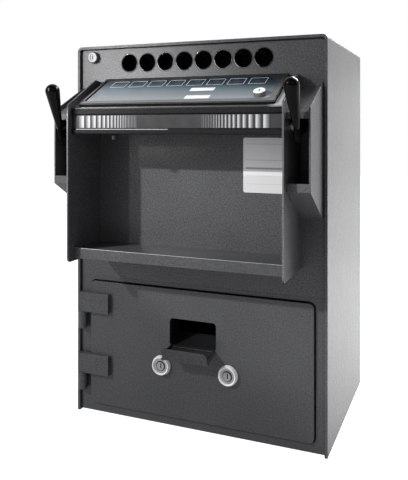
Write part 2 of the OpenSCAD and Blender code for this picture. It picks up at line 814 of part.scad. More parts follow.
// Film with raised key fields and two bare label fields
module keypad_overlay() color(overlay_blue) from_front() on_cover() difference() {
    union() {
        translate([0, 0, pad_t - overlay_t]) linear_extrude(overlay_t) pad_outline(overlay_w, overlay_l, 4);
        for (i = [0 : columns - 1])
            translate([first_key_x + i * key_pitch, key_y, pad_t]) linear_extrude(key_up)
                round_rect(key_w, key_l, 2);
        for (p = [[label_x, label_y + label_pitch], [label_x + label_shift, label_y]])
            translate([p[0], p[1], pad_t]) linear_extrude(key_up) round_rect(label_w, label_l, 1.5);
    }
    translate([switch_x, switch_y, 0]) rod_z(switch_body_r + fit, 0, pad_t + cut);
}

// Circuit board with the key contacts, in the frame's pocket
module keypad_board() color(board_green) from_front() on_cover() translate([pocket_x, pad_mid, 0]) {
    translate([0, 0, board_t / 2])
        cube([pocket_w - 2 * pocket_play, pocket_l - 2 * pocket_play, board_t], center = true);
    for (i = [-3 : 3]) translate([i * key_pitch, pocket_l / 2 - 4 * contact_r, board_t - fit])
        rod_z(contact_r, 0, contact_t);
}

module at_switch() from_front() on_cover() translate([switch_x, switch_y, 0]) children();
module key_switch_body() color(bright) at_switch() difference() {
    union() {
        rod_z(switch_body_r, -switch_down, pad_t);
        rotate_extrude() polygon([
            [0, pad_t], [switch_r, pad_t], [switch_r, switch_top - 1.5], [switch_r - 1.5, switch_top],
            [0, switch_top]]);
    }
    rod_z(switch_plug_r + run, -switch_down - cut, switch_top + cut);
}
module key_switch_plug() color(bright) at_switch() difference() {
    union() {
        rod_z(switch_plug_r, -switch_down, switch_top - 0.5);
        rod_z(switch_plug_r + 2, -switch_down - 5, -switch_down - slide);
    }
    translate([-keyway_w / 2, -3.4, switch_top - key_depth]) cube([keyway_w, 6.8, key_depth + cut]);
}

module rating_plate() color(plate_grey) from_front()
    deep(front_y - plate_t, front_y)
        translate([cheek_in - plate_in - plate_w / 2, console_z - plate_drop - plate_h / 2])
        round_rect(plate_w, plate_h, plate_r);

// Wings: an outer side, a sloping top and underside, and front flanges round the opening

wing_open_z = shaft_z - wing_open_down;
wing_low_z = wing_open_z - wing_flange_low;
wing_top_z = shaft_z + wing_open_up + wing_flange_up;
module wing_outline(up) polygon([
    [front_y, wing_low_z - wing_fall], [-wing_reach, wing_low_z],
    [-wing_reach, wing_top_z + up], [front_y, wing_top_z + wing_rise + up]]);
module wing() difference() {
    union() {
        across(cheek_out, wing_out) wing_outline(0);
        across(wing_out - wing_t, wing_out) wing_outline(wing_side_up);
    }
    across(cheek_out - cut, wing_out - wing_t) polygon([
        [front_y + cut, wing_low_z - wing_fall + wing_t + 1.5],
        [-wing_reach + wing_t, wing_low_z + wing_t],
        [-wing_reach + wing_t, wing_top_z - wing_t],
        [front_y + cut, wing_top_z + wing_rise - wing_t]]);
    across(cheek_out - cut, wing_out - wing_t) translate([-wing_reach - cut, wing_open_z])
        square([wing_t + 2 * cut, wing_open_up + wing_open_down]);
}
module wing_right() color(charcoal) from_front() wing();
module wing_left() color(charcoal) mirror([1, 0, 0]) from_front() wing();

// Levers

module at_shaft() translate([0, -shaft_reach, shaft_z]) children();
module at_foot() translate([0, foot_y, foot_z]) rotate([lean, -lean_in, 0]) children();

module lever_shaft() color(steel) from_front() at_shaft() rod_x(shaft_r, -shaft_end, shaft_end);

module lever_bushes() color(black) from_front() both() at_shaft() difference() {
    union() {
        rod_x(bush_r, cheek_in - bush_in, cheek_out);
        rod_x(bush_r + 3, cheek_in - bush_in, cheek_in - fit);
    }
    rod_x(shaft_r + run, cheek_in - bush_in - cut, cheek_out + cut);
}

module shaft_collars() color(zinc) from_front() both() at_shaft() difference() {
    rod_x(shaft_r + collar_wall, cheek_out + slide, lever_x - arm_t / 2);
    rod_x(shaft_r + run, cheek_out, lever_x);
}

// Arm: a hub on the shaft, a flat bar and a boss that takes the handle
module lever_arm() translate([lever_x, 0, 0]) difference() {
    bar_end = [foot_reach - shaft_reach - boss_l * sin(lean) / 2, -foot_down - bar_drop];
    bar_turn = atan2(-bar_end[1], bar_end[0]);
    union() {
        at_shaft() rod_x(shaft_r + collar_wall + 1, -arm_t / 2, arm_t / 2);
        at_shaft() rotate([bar_turn, 0, 0]) translate([-arm_t / 2, -norm(bar_end), -bar_h / 2])
            cube([arm_t, norm(bar_end), bar_h]);
        at_foot() rod_z(handle_foot_r, -boss_l, 0);
    }
    at_shaft() rod_x(shaft_r + run, -arm_t, arm_t);
    at_foot() rod_z(stud_r + run, -boss_l - cut, cut);
}
module lever_arm_right() color(black) from_front() lever_arm();
module lever_arm_left() color(black) mirror([1, 0, 0]) from_front() lever_arm();

// Handle: a long taper that runs tangent into a ball head, bored for the stud
module lever_handle() translate([lever_x, 0, 0]) at_foot() difference() {
    reach = asin((handle_head_r - handle_foot_r) / neck_l);
    union() {
        cylinder(r1 = handle_foot_r, r2 = handle_head_r * cos(reach),
                 h = neck_l - handle_head_r * sin(reach));
        translate([0, 0, neck_l]) sphere(handle_head_r);
    }
    rod_z(stud_r + run, -cut, stud_in + 2);
}
module lever_handle_right() color(black) from_front() lever_handle();
module lever_handle_left() color(black) mirror([1, 0, 0]) from_front() lever_handle();

// Studs that hold the handles, and the screws at the shaft's ends
module lever_fasteners() color(steel) from_front() both() {
    translate([lever_x, 0, 0]) at_foot() {
        rod_z(stud_r, -boss_l, stud_in);
        translate([0, 0, -boss_l - stud_head_t]) cylinder(r = stud_head_r, h = stud_head_t, $fn = 6);
    }
    at_shaft() {
        rod_x(end_screw_r, shaft_end, shaft_end + end_screw_t);
        rod_x(end_screw_r * 0.7, shaft_end + end_screw_t, shaft_end + end_screw_t * 1.7);
    }
}

// Gates that hold the lowest pack in each column, all fixed to the shaft
module release_gates() color(zinc) from_front() for (i = [0 : columns - 1])
    translate([column_x(i), -shaft_reach, shaft_z]) difference() {
        gate_l = gate_back + shaft_reach;
        union() {
            rod_x(gate_hub_r, -gate_hub_w / 2, gate_hub_w / 2);
            translate([-gate_hub_w / 2, 0, -gate_t]) cube([gate_hub_w, gate_l, 2 * gate_t]);
            translate([-gate_w / 2, gate_l - gate_t, -gate_down])
                cube([gate_w, gate_t, gate_up + gate_down]);
        }
        rod_x(shaft_r + run, -gate_hub_w, gate_hub_w);
    }

// Helical return spring round the shaft, swept as a six-sided wire
spring_steps = 14 * spring_turns;
spring_sides = 6;
function spring_point(i, j) = let (
        a = 360 * spring_turns * i / spring_steps,
        b = 360 * j / spring_sides,
        r = spring_r + spring_wire_r * cos(b))
    [spring_x + spring_l * i / spring_steps + spring_wire_r * sin(b),
     r * cos(a) - shaft_reach, r * sin(a) + shaft_z];
module return_spring() color(steel) from_front() polyhedron(
    points = [for (i = [0 : spring_steps], j = [0 : spring_sides - 1]) spring_point(i, j)],
    faces = concat(
        [[for (j = [0 : spring_sides - 1]) j]],
        [for (i = [0 : spring_steps - 1], j = [0 : spring_sides - 1])
            let (k = (j + 1) % spring_sides, p = i * spring_sides, q = p + spring_sides)
            [p + j, q + j, q + k]],
        [for (i = [0 : spring_steps - 1], j = [0 : spring_sides - 1])
            let (k = (j + 1) % spring_sides, p = i * spring_sides, q = p + spring_sides)
            [p + j, q + k, p + k]],
        [[for (j = [spring_sides - 1 : -1 : 0]) spring_steps * spring_sides + j]]));

// Columns behind the loading holes

module load_sleeves() color(black) from_front() for (i = [0 : columns - 1])
    translate([column_x(i), 0, hole_z]) difference() {
        rod_y(sleeve_d / 2, front_y - sleeve_out, front_y + sleeve_l);
        rod_y(sleeve_d / 2 - sleeve_t, front_y - sleeve_out - cut, front_y + sleeve_l + cut);
    }

module column_dividers() color(zinc) from_front() for (i = [0 : columns])
    across(column_x(i) - pitch / 2 - divider_t / 2, column_x(i) - pitch / 2 + divider_t / 2) polygon([
        [front_back, port_z], [rack_back, port_z + ramp_rise],
        [rack_back, rack_top], [front_back, rack_top]]);

// One sheet bent up from the ramp into the columns' back wall
module magazine_ramp() color(zinc) from_front() across(-rack_out, rack_out)
    polygon([[front_back, port_z - ramp_t], [rack_back + ramp_t, port_z + ramp_rise - ramp_t],
             [rack_back + ramp_t, rack_top], [rack_back, rack_top],
             [rack_back, port_z + ramp_rise], [front_back, port_z]]);

rail_d = 60;
rail_sheet = 2;
rail_skirt = 18;
solenoid_w = 24;
solenoid_d = 28;
solenoid_h = 22;
plunger_r = 3;
plunger_l = 11;
rail_z = port_z - 30;
module solenoid_rail() color(zinc) from_front() across(-rack_w / 2, rack_w / 2) {
    translate([front_back, rail_z - rail_sheet]) square([rail_d, rail_sheet]);
    translate([front_back, rail_z - rail_skirt]) square([rail_sheet, rail_skirt - rail_sheet]);
}
module column_solenoids() color(dark) from_front() for (i = [0 : columns - 1])
    translate([column_x(i), front_back + rail_d / 2, rail_z]) {
        translate([-solenoid_w / 2, -solenoid_d / 2, 0]) cube([solenoid_w, solenoid_d, solenoid_h]);
        rod_z(plunger_r, solenoid_h, solenoid_h + plunger_l);
    }

// Electronics

board_w = 200;
board_h = 140;
board_in = 44;
board_edge = 8;
standoff_r = 4;
standoff_l = 10;
socket_w = 34;
socket_h = 12;
socket_t = 9;
chip_w = 36;
chip_t = 4;
drum_r = 9;
drum_l = 22;
board_z = console_z + 45 - board_h;
module control_board() color(board_green) from_front()
    translate([-side_in + board_in, back_in - standoff_l - board_t, board_z]) {
    cube([board_w, board_t, board_h]);
    for (i = [0 : 3]) translate([board_w * (0.07 + 0.23 * i), -socket_t, board_edge])
        cube([socket_w, socket_t + fit, socket_h]);
    translate([board_w * 0.3, -chip_t, board_h * 0.36]) cube([chip_w, chip_t + fit, chip_w]);
    translate([board_w * 0.65, -1.5 * chip_t, board_h * 0.43])
        cube([chip_w * 0.7, 1.5 * chip_t + fit, chip_w * 1.4]);
    translate([board_w * 0.15, 0, board_h * 0.65]) rod_y(drum_r, -drum_l, fit);
}
module board_standoffs() color(steel) from_front()
    for (i = [0, 1], j = [0, 1]) translate([
        -side_in + board_in + board_edge + i * (board_w - 2 * board_edge), 0,
        board_z + board_edge + j * (board_h - 2 * board_edge)])
        rod_y(standoff_r, back_in - standoff_l, back_in);

supply_w = 150;
supply_d = 95;
supply_h = 45;
supply_back = 15;
vent_w = 5;
module power_supply() color(zinc) from_front()
    translate([side_in - supply_w - board_in, back_in - supply_back - supply_d, roof_z + roof_t])
    difference() {
        cube([supply_w, supply_d, supply_h]);
        for (i = [0 : 9]) translate([supply_w * (0.1 + 0.086 * i), -cut, supply_h - vent_w])
            cube([vent_w, supply_d + 2 * cut, vent_w + cut]);
    }

// Upper lock

module at_upper_lock() translate([upper_lock_x, 0, upper_lock_z]) children();
module upper_lock_body() color(bright) from_front() at_upper_lock() difference() {
    union() {
        rod_y(upper_barrel_r, front_y, upper_lock_back);
        rotate([90, 0, 0]) rotate_extrude() polygon([
            [0, -front_y], [upper_lock_r, -front_y], [upper_lock_r, -upper_face_y - 3],
            [upper_lock_r - 2, -upper_face_y], [0, -upper_face_y]]);
    }
    rod_y(upper_plug_r + run, upper_face_y - cut, upper_lock_back + cut);
}
module upper_lock_plug() color(bright) from_front() at_upper_lock() difference() {
    rod_y(upper_plug_r, upper_face_y + 1, upper_lock_back + upper_cam_t + 1);
    translate([-keyway_w / 2, upper_face_y, -upper_plug_r * 0.6])
        cube([keyway_w, key_depth + cut, upper_plug_r * 1.2]);
}
module upper_lock_cam() color(zinc) from_front() at_upper_lock() difference() {
    union() {
        rod_y(upper_plug_r + 3, upper_lock_back + slide, upper_lock_back + upper_cam_t);
        translate([-upper_plug_r, upper_lock_back + slide, -upper_cam_l])
            cube([2 * upper_plug_r, upper_cam_t - slide, upper_cam_l]);
    }
    rod_y(upper_plug_r + run, upper_lock_back, upper_lock_back + 2 * upper_cam_t);
}

shell();
back_plate();
base_plate();
front_head();
front_middle();
front_frame();
vault_roof();
cable_grommet();
door_plate();
outlet_scoop();
outlet_chute();
hinge_straps();
hinge_barrels();
hinge_pins();
lock_collars();
lock_bodies();
lock_nuts();
lock_plug_left();
lock_plug_right();
lock_cam_left();
lock_cam_right();
bolt_left();
bolt_right();
bolt_guides();
bay_cheek_left();
bay_cheek_right();
bay_shelf();
console_front();
stripe_panel();
console_cover();
thumb_screw();
keypad_frame();
keypad_overlay();
keypad_board();
key_switch_body();
key_switch_plug();
rating_plate();
wing_left();
wing_right();
lever_shaft();
lever_bushes();
shaft_collars();
lever_arm_left();
lever_arm_right();
lever_handle_left();
lever_handle_right();
lever_fasteners();
release_gates();
return_spring();
load_sleeves();
column_dividers();
magazine_ramp();
solenoid_rail();
column_solenoids();
control_board();
board_standoffs();
power_supply();
upper_lock_body();
upper_lock_plug();
upper_lock_cam();
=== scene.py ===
import json
import math

import bmesh
import bpy
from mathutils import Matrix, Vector


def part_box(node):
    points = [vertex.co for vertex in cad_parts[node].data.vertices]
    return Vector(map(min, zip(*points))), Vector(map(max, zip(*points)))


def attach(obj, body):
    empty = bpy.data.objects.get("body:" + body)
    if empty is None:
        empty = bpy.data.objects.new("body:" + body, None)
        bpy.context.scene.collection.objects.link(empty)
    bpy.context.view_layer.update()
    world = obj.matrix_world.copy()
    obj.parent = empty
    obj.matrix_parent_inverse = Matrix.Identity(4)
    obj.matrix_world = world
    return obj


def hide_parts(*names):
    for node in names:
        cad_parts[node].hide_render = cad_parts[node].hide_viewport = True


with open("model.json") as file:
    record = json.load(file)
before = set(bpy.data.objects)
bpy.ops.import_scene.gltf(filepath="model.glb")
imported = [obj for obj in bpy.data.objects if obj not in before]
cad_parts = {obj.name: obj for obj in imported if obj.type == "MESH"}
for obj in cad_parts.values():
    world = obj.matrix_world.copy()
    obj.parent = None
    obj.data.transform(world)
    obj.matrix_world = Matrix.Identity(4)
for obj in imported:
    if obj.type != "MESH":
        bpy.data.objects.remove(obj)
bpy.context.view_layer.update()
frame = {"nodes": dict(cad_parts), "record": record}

NODES = frame["nodes"]
BODIES = frame["record"]["behaviour"]["bodies"]
BODY_OF = {node: body for body, nodes in BODIES.items() for node in nodes}
FIXED = "cabinet"
MM = 0.001


# Places taken from the frame: the shell's front lip and the sloped cover of the console

LIP_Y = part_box("shell")[0][1]
COVER_LOW, COVER_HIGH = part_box("console_cover")
COVER_T = 3 * MM
SLOPE = 27.8
COVER_FRONT_Z = COVER_LOW[2] + COVER_T / math.cos(math.radians(SLOPE))
UP_SLOPE = Vector((0, math.cos(math.radians(SLOPE)), math.sin(math.radians(SLOPE))))
OFF_SLOPE = Vector((0, -math.sin(math.radians(SLOPE)), math.cos(math.radians(SLOPE))))

# Turns, in degrees, that lay a flat piece against the front and on the console's slope
AGAINST_FRONT = (90, 0, 0)
ON_SLOPE = (SLOPE, 0, 0)


def from_lip(x, y, z):
    # a place in millimetres from the middle, the shell's lip and the floor
    return Vector((x * MM, LIP_Y + y * MM, z * MM))


def on_slope(x, up, rise):
    # a place in millimetres across the console, up its slope and off its face
    start = Vector((x * MM, COVER_LOW[1], COVER_FRONT_Z))
    return start + UP_SLOPE * up * MM + OFF_SLOPE * rise * MM


# Selecting and editing

def deselect():
    for thing in bpy.context.selected_objects:
        thing.select_set(False)
    bpy.context.view_layer.objects.active = None


def make_active(thing):
    deselect()
    thing.select_set(True)
    bpy.context.view_layer.objects.active = thing


def open_piece(piece):
    make_active(piece)
    bpy.ops.object.mode_set(mode="EDIT")


def close_piece():
    bpy.ops.object.mode_set(mode="OBJECT")


def select_faces(piece, wanted):
    mesh = bmesh.from_edit_mesh(piece.data)
    bpy.ops.mesh.select_mode(type="FACE")
    for face in mesh.faces:
        face.select_set(wanted(face))
    bmesh.update_edit_mesh(piece.data)


# Flat pieces and turned pieces: a flat face is opened, shaped and given its thickness

def open_new(name):
    # names the primitive that was just added and opens it with all of it selected
    piece = bpy.context.active_object
    piece.name = name
    bpy.ops.object.mode_set(mode="EDIT")
    bpy.ops.mesh.select_all(action="SELECT")
    return piece


def open_disc(name, radius, sides):
    deselect()
    bpy.ops.mesh.primitive_circle_add(vertices=sides, radius=radius * MM, fill_type="NGON")
    return open_new(name)


def open_sheet(name, width, length, corner, corner_steps=4):
    deselect()
    bpy.ops.mesh.primitive_plane_add(size=1)
    piece = open_new(name)
    bpy.ops.transform.resize(value=(width * MM, length * MM, 1))
    if corner:
        bpy.ops.mesh.bevel(affect="VERTICES", offset=corner * MM, segments=corner_steps)
    return piece


def cut_hole(band, off_middle=(0, 0)):
    # leaves a band of the open face round a hole, which may sit off the middle
    bpy.ops.mesh.select_all(action="SELECT")
    bpy.ops.mesh.inset(thickness=band * MM, depth=0)
    bpy.ops.transform.translate(value=(off_middle[0] * MM, off_middle[1] * MM, 0))
    bpy.ops.mesh.delete(type="FACE")


def extrude_up(height):
    bpy.ops.mesh.extrude_region_move(TRANSFORM_OT_translate={"value": (0, 0, height * MM)})


def face_outwards():
    bpy.ops.mesh.select_all(action="SELECT")
    bpy.ops.mesh.normals_make_consistent(inside=False)


def thicken(thickness):
    bpy.ops.mesh.select_all(action="SELECT")
    extrude_up(thickness)
    face_outwards()
    close_piece()


def slab(name, width, length, thickness, corner=0.0):
    # a flat piece, with round corners or square ones, that stands on its underside
    piece = open_sheet(name, width, length, corner)
    thicken(thickness)
    return piece


def ring(name, radius, sides, band, thickness, off_middle=(0, 0)):
    piece = open_disc(name, radius, sides)
    cut_hole(band, off_middle)
    thicken(thickness)
    return piece


def turned(name, radius, steps, sides):
    # a turned solid: each step is a rise and the radius reached there
    piece = open_disc(name, radius, sides)
    for rise, reached in steps:
        extrude_up(rise)
        bpy.ops.transform.resize(value=(reached / radius, reached / radius, 1))
        radius = reached
    face_outwards()
    close_piece()
    return piece


# Placing, repeating and finishing

SHARP_EDGE_DEGREES = 32
SMOOTH_DEGREES = 40


def put(piece, place, turn=(0, 0, 0)):
    piece.location = place
    piece.rotation_euler = [math.radians(angle) for angle in turn]
    make_active(piece)
    bpy.ops.object.transform_apply(location=True, rotation=True, scale=True)


def own_copy(piece, name):
    copy = bpy.data.objects.new(name, piece.data.copy())
    bpy.context.collection.objects.link(copy)
    return copy


def joined(pieces, name):
    deselect()
    for piece in pieces:
        piece.select_set(True)
    bpy.context.view_layer.objects.active = pieces[0]
    bpy.ops.object.join()
    pieces[0].name = name
    return pieces[0]


def repeated(first, turn, places, scales=None):
    # a copy of the first piece at each place, all joined under its name
    name = first.name
    copies = []
    for place, scale in zip(places, scales or [(1, 1, 1)] * len(places)):
        copy = own_copy(first, name)
        copy.scale = scale
        put(copy, place, turn)
        copies.append(copy)
    bpy.data.objects.remove(first)
    return joined(copies, name)


def bevel_edges(piece, width, segments=2):
    # puts a bevel on the sharp edges, which is applied later
    edge = piece.modifiers.new("edge", "BEVEL")
    edge.width = width * MM
    edge.segments = segments
    edge.limit_method = "ANGLE"
    edge.angle_limit = math.radians(SHARP_EDGE_DEGREES)
    return edge


def finish(piece, material, body, edge=0.0, segments=2, smooth=SMOOTH_DEGREES):
    # bevels the edges if a width is given, then shades, paints and hangs the piece on its body
    make_active(piece)
    if edge:
        bevel_edges(piece, edge, segments)
        bpy.ops.object.modifier_apply(modifier="edge")
    bpy.ops.object.shade_smooth_by_angle(angle=math.radians(smooth))
    piece.data.materials.clear()
    piece.data.materials.append(material)
    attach(piece, body)
    deselect()


# Material nodes

def fresh_tree(owner, output_kind):
    # the owner's node tree with nothing in it but a new output
    owner.use_nodes = True
    tree = owner.node_tree
    tree.nodes.clear()
    return tree, tree.nodes.new(output_kind)


def new_material(name):
    material = bpy.data.materials.new(name)
    tree, output = fresh_tree(material, "ShaderNodeOutputMaterial")
    shader = tree.nodes.new("ShaderNodeBsdfPrincipled")
    tree.links.new(shader.outputs["BSDF"], output.inputs["Surface"])
    return material, tree, shader


def coordinates(tree, kind="Object"):
    return tree.nodes.new("ShaderNodeTexCoord").outputs[kind]


def axes(tree, kind="Object"):
    parts = tree.nodes.new("ShaderNodeSeparateXYZ")
    tree.links.new(coordinates(tree, kind), parts.inputs[0])
    return parts.outputs


def noise(tree, scale, detail=2.0, roughness=0.5):
    texture = tree.nodes.new("ShaderNodeTexNoise")
    texture.inputs["Scale"].default_value = scale
    texture.inputs["Detail"].default_value = detail
    texture.inputs["Roughness"].default_value = roughness
    tree.links.new(coordinates(tree), texture.inputs["Vector"])
    return texture.outputs["Fac"]


def math_node(tree, operation, *values):
    node = tree.nodes.new("ShaderNodeMath")
    node.operation = operation
    for value, socket in zip(values, node.inputs):
        if isinstance(value, (int, float)):
            socket.default_value = value
        else:
            tree.links.new(value, socket)
    return node.outputs[0]


def map_range(tree, value, low, high, to_low=0.0, to_high=1.0):
    node = tree.nodes.new("ShaderNodeMapRange")
    levels = {"From Min": low, "From Max": high, "To Min": to_low, "To Max": to_high}
    for name, level in levels.items():
        node.inputs[name].default_value = level
    tree.links.new(value, node.inputs["Value"])
    return node.outputs["Result"]


def ramp(tree, value, stops):
    node = tree.nodes.new("ShaderNodeValToRGB")
    tree.links.new(value, node.inputs["Fac"])
    elements = node.color_ramp.elements
    while len(elements) < len(stops):
        elements.new(0.5)
    for element, (place, colour) in zip(elements, stops):
        element.position = place
        element.color = (*colour, 1)
    return node.outputs["Color"]


def paint(tree, shader, level, stops):
    tree.links.new(ramp(tree, level, stops), shader.inputs["Base Color"])


def roughen(tree, shader, level, rough):
    tree.links.new(map_range(tree, level, 0, 1, *rough), shader.inputs["Roughness"])


def bump(tree, shader, height, strength, depth, below=None):
    node = tree.nodes.new("ShaderNodeBump")
    node.inputs["Strength"].default_value = strength
    node.inputs["Distance"].default_value = depth
    tree.links.new(height, node.inputs["Height"])
    if below:
        tree.links.new(below, node.inputs["Normal"])
    tree.links.new(node.outputs["Normal"], shader.inputs["Normal"])
    return node.outputs["Normal"]


def fine_grain(tree, shader, scale, rough, strength, depth, detail=2.0):
    # a fine grain that varies the roughness and raises the surface
    grain = noise(tree, scale, detail)
    roughen(tree, shader, grain, rough)
    bump(tree, shader, grain, strength, depth)
    return grain


# Plain finishes. A larger noise scale is a finer grain, and depths are in metres

PEBBLE_SCALE = 330
PEBBLE_DEPTH = 0.0012
PEBBLE_LEVELS = (0.3, 0.7)
HOLLOW_GLOSS = 0.6
CREST_GLOSS = 1.4
PATCH_SCALE = 9
PATCH_SHARE = 0.35
MOTTLE_SCALE = 90
MOTTLE_DEPTH = 0.004
PLATED_SCALE = 260
PLATED_GRAIN = 0.04
WEAR_SCALE = 40
WORN_SHADE = 0.82
MOULDED_SCALE = 700
FLOW_SCALE = 30
GRAIN_DEPTH = 0.0004
FACE_DEPTH = 0.0003


def pebble_noise(tree):
    return noise(tree, PEBBLE_SCALE, 3.0, 0.6)


def powder_coat(name, dark, light, rough=(0.32, 0.42), grain=0.26, gloss=0.5, mottle=0.0):
    # a pebbled coat, darker and less glossy in its hollows, and wavy where it is mottled
    material, tree, shader = new_material(name)
    pebbles = pebble_noise(tree)
    shine = map_range(tree, pebbles, *PEBBLE_LEVELS, gloss * HOLLOW_GLOSS, gloss * CREST_GLOSS)
    tree.links.new(shine, shader.inputs["Specular IOR Level"])
    shade = math_node(tree, "MULTIPLY_ADD", noise(tree, PATCH_SCALE), PATCH_SHARE, pebbles)
    paint(tree, shader, shade, [(0.45, dark), (0.85, light)])
    roughen(tree, shader, pebbles, rough)
    waves = None
    if mottle:
        waves = bump(tree, shader, noise(tree, MOTTLE_SCALE, 3.0, 0.6), mottle, MOTTLE_DEPTH)
    bump(tree, shader, pebbles, grain, PEBBLE_DEPTH, waves)
    return material


def plated(name, colour, rough, metal=1.0):
    # a plated surface with slightly darker worn patches
    material, tree, shader = new_material(name)
    shader.inputs["Metallic"].default_value = metal
    worn = [part * WORN_SHADE for part in colour]
    paint(tree, shader, noise(tree, WEAR_SCALE, 4.0), [(0.3, worn), (0.65, colour)])
    fine_grain(tree, shader, PLATED_SCALE, rough, PLATED_GRAIN, GRAIN_DEPTH, 3.0)
    return material


def plastic(name, dark, light, rough, grain, gloss=0.5):
    # moulded plastic, rubber or smooth paint with faint flow marks
    material, tree, shader = new_material(name)
    shader.inputs["Specular IOR Level"].default_value = gloss
    paint(tree, shader, noise(tree, FLOW_SCALE), [(0.35, dark), (0.7, light)])
    fine_grain(tree, shader, MOULDED_SCALE, rough, grain, GRAIN_DEPTH)
    return material


COAT_DARK = (0.036, 0.037, 0.039)
COAT_LIGHT = (0.082, 0.083, 0.086)
EDGE_HIGHLIGHT_TONE = (0.44, 0.445, 0.45)
BLACK = (0.003, 0.003, 0.0035)
SOFT_BLACK = (0.006, 0.006, 0.007)

CHARCOAL = powder_coat("charcoal_powder_coat", COAT_DARK, COAT_LIGHT, grain=0.2)
SHELL_COAT = powder_coat("shell_powder_coat", COAT_DARK, COAT_LIGHT, grain=0.34, mottle=0.3)
DOOR_COAT = powder_coat("door_powder_coat", (0.044, 0.045, 0.048), (0.063, 0.064, 0.067),
                        grain=0.08)
WING_COAT = powder_coat("wing_powder_coat", COAT_DARK, COAT_LIGHT, rough=(0.5, 0.6))
# Painted highlights: light coats for bevels and bends that stand for the light caught along edges
EDGE_HIGHLIGHT = powder_coat("painted_edge_highlight", (0.26, 0.265, 0.27), EDGE_HIGHLIGHT_TONE,
                          rough=(0.2, 0.3), grain=0.1)
# a painted highlight for the bend along the shelf's top edge
SHELF_EDGE_HIGHLIGHT = powder_coat("shelf_edge_painted_highlight", (0.3, 0.305, 0.31), EDGE_HIGHLIGHT_TONE,
                         rough=(0.3, 0.4), grain=0.1)
# a dimmer painted highlight, for the bevels of the console cover
DIM_EDGE_HIGHLIGHT = powder_coat("dim_painted_edge_highlight", (0.032, 0.033, 0.034), (0.065, 0.066, 0.068),
                        rough=(0.3, 0.4), grain=0.1)
# the scoop's coat is darker, a painted shade that makes up for the light on its upturned front
SCOOP_SHADED_COAT = powder_coat("scoop_painted_shade_coat", (0.024, 0.0245, 0.026), (0.056, 0.057, 0.06),
                         rough=(0.5, 0.6))
SHADED_COAT = powder_coat("shaded_coat", (0.012, 0.012, 0.013), (0.024, 0.024, 0.025),
                          rough=(0.5, 0.6), grain=0.1, gloss=0.3)
NEAR_BLACK = powder_coat("near_black_coat", SOFT_BLACK, (0.013, 0.013, 0.014),
                         rough=(0.4, 0.5), grain=0.08, gloss=0.12)

CHROME = plated("polished_chrome", (0.86, 0.86, 0.87), rough=(0.06, 0.14))
STEEL = plated("turned_steel", (0.56, 0.56, 0.57), rough=(0.22, 0.36))
ZINC = plated("zinc_plate", (0.42, 0.43, 0.44), rough=(0.34, 0.5))
SATIN_NICKEL = plated("satin_nickel", (0.5, 0.5, 0.5), rough=(0.45, 0.55))
# white paint, not metal: a painted reflection on the chrome collars and key switch, and painted
# glints in the sleeves
PAINTED_REFLECTION_WHITE = plated("white_painted_reflection", (0.97, 0.97, 0.97), rough=(0.3, 0.4), metal=0.0)
DULL_NICKEL = plated("dull_nickel", (0.26, 0.26, 0.26), rough=(0.45, 0.55), metal=0.8)

SLEEVE_BLACK = plastic("gloss_black_sleeve", BLACK, SOFT_BLACK,
                       rough=(0.08, 0.14), grain=0.02, gloss=0.9)
GLOSS_BLACK = plastic("gloss_black_plastic", (0.0015, 0.0015, 0.002), BLACK,
                      rough=(0.07, 0.12), grain=0.02, gloss=0.12)
MATTE_BLACK = plastic("matte_black_plastic", (0.008, 0.008, 0.009), (0.016, 0.016, 0.017),
                      rough=(0.42, 0.55), grain=0.12)
BLACK_STEEL = plastic("dull_black_steel", BLACK, SOFT_BLACK,
                      rough=(0.7, 0.8), grain=0.06, gloss=0.02)
SCREW_BLACK = plastic("worn_black_steel", (0.02, 0.02, 0.021), (0.05, 0.05, 0.052),
                      rough=(0.3, 0.4), grain=0.06)
RUBBER = plastic("black_rubber", (0.008, 0.008, 0.008), (0.014, 0.014, 0.014),
                 rough=(0.6, 0.75), grain=0.1)
FRAME_SIDE = plastic("black_frame_side", (0.004, 0.004, 0.0045), (0.008, 0.008, 0.009),
                     rough=(0.5, 0.6), grain=0.05, gloss=0.1)
OUTLINE = plastic("pale_outline", (0.5, 0.55, 0.6), (0.6, 0.66, 0.7),
                  rough=(0.3, 0.4), grain=0.02)
RULE = plastic("grey_rule", (0.36, 0.36, 0.37), (0.42, 0.42, 0.43),
               rough=(0.4, 0.5), grain=0.02)
LABEL = plastic("pale_label", (0.74, 0.77, 0.8), (0.8, 0.83, 0.86),
                rough=(0.35, 0.45), grain=0.02)
PANEL = plastic("dark_panel", (0.03, 0.03, 0.031), (0.045, 0.045, 0.047),
                rough=(0.4, 0.5), grain=0.05, gloss=0.25)
BOARD = plastic("board_green", (0.012, 0.07, 0.03), (0.018, 0.1, 0.045),
                rough=(0.3, 0.45), grain=0.02)


# Graded finishes, which change across the piece. A list of shades gives the level of each;
# X and Z are in metres, and a pair of them is where the change starts and where it ends

# painted light on the grey-blue film, from the lit front up to the shaded back
FILM_SHADES = [(0.28, (0.208, 0.228, 0.242)), (0.5, (0.148, 0.181, 0.202)),
               (0.66, (0.079, 0.109, 0.126)), (0.75, (0.037, 0.054, 0.065)),
               (0.87, (0.022, 0.03, 0.038)), (1.0, (0.009, 0.011, 0.016))]
PAINTED_SHADE_TO_THE_RIGHT = 0.2
FILM_SCALE = 500
BAR_SHADES = [(0.0, (0.035, 0.035, 0.036)), (0.4, (0.2, 0.2, 0.206)), (0.85, (0.54, 0.54, 0.547))]
DIM_BAR = (0.05, 0.05, 0.052, 1)
DIM_BARS_X = (0.055, 0.12)
DIM_BAR_SHARE = 0.25
BAR_SCALE = 600
# painted light on the console cover: shade on the left, a highlight in the right hand corner
COVER_SHADES = [(0.05, (0.02, 0.0205, 0.022)), (0.95, (0.44, 0.442, 0.445))]
HIGHLIGHT_CORNER_X = (0.184, 0.2)
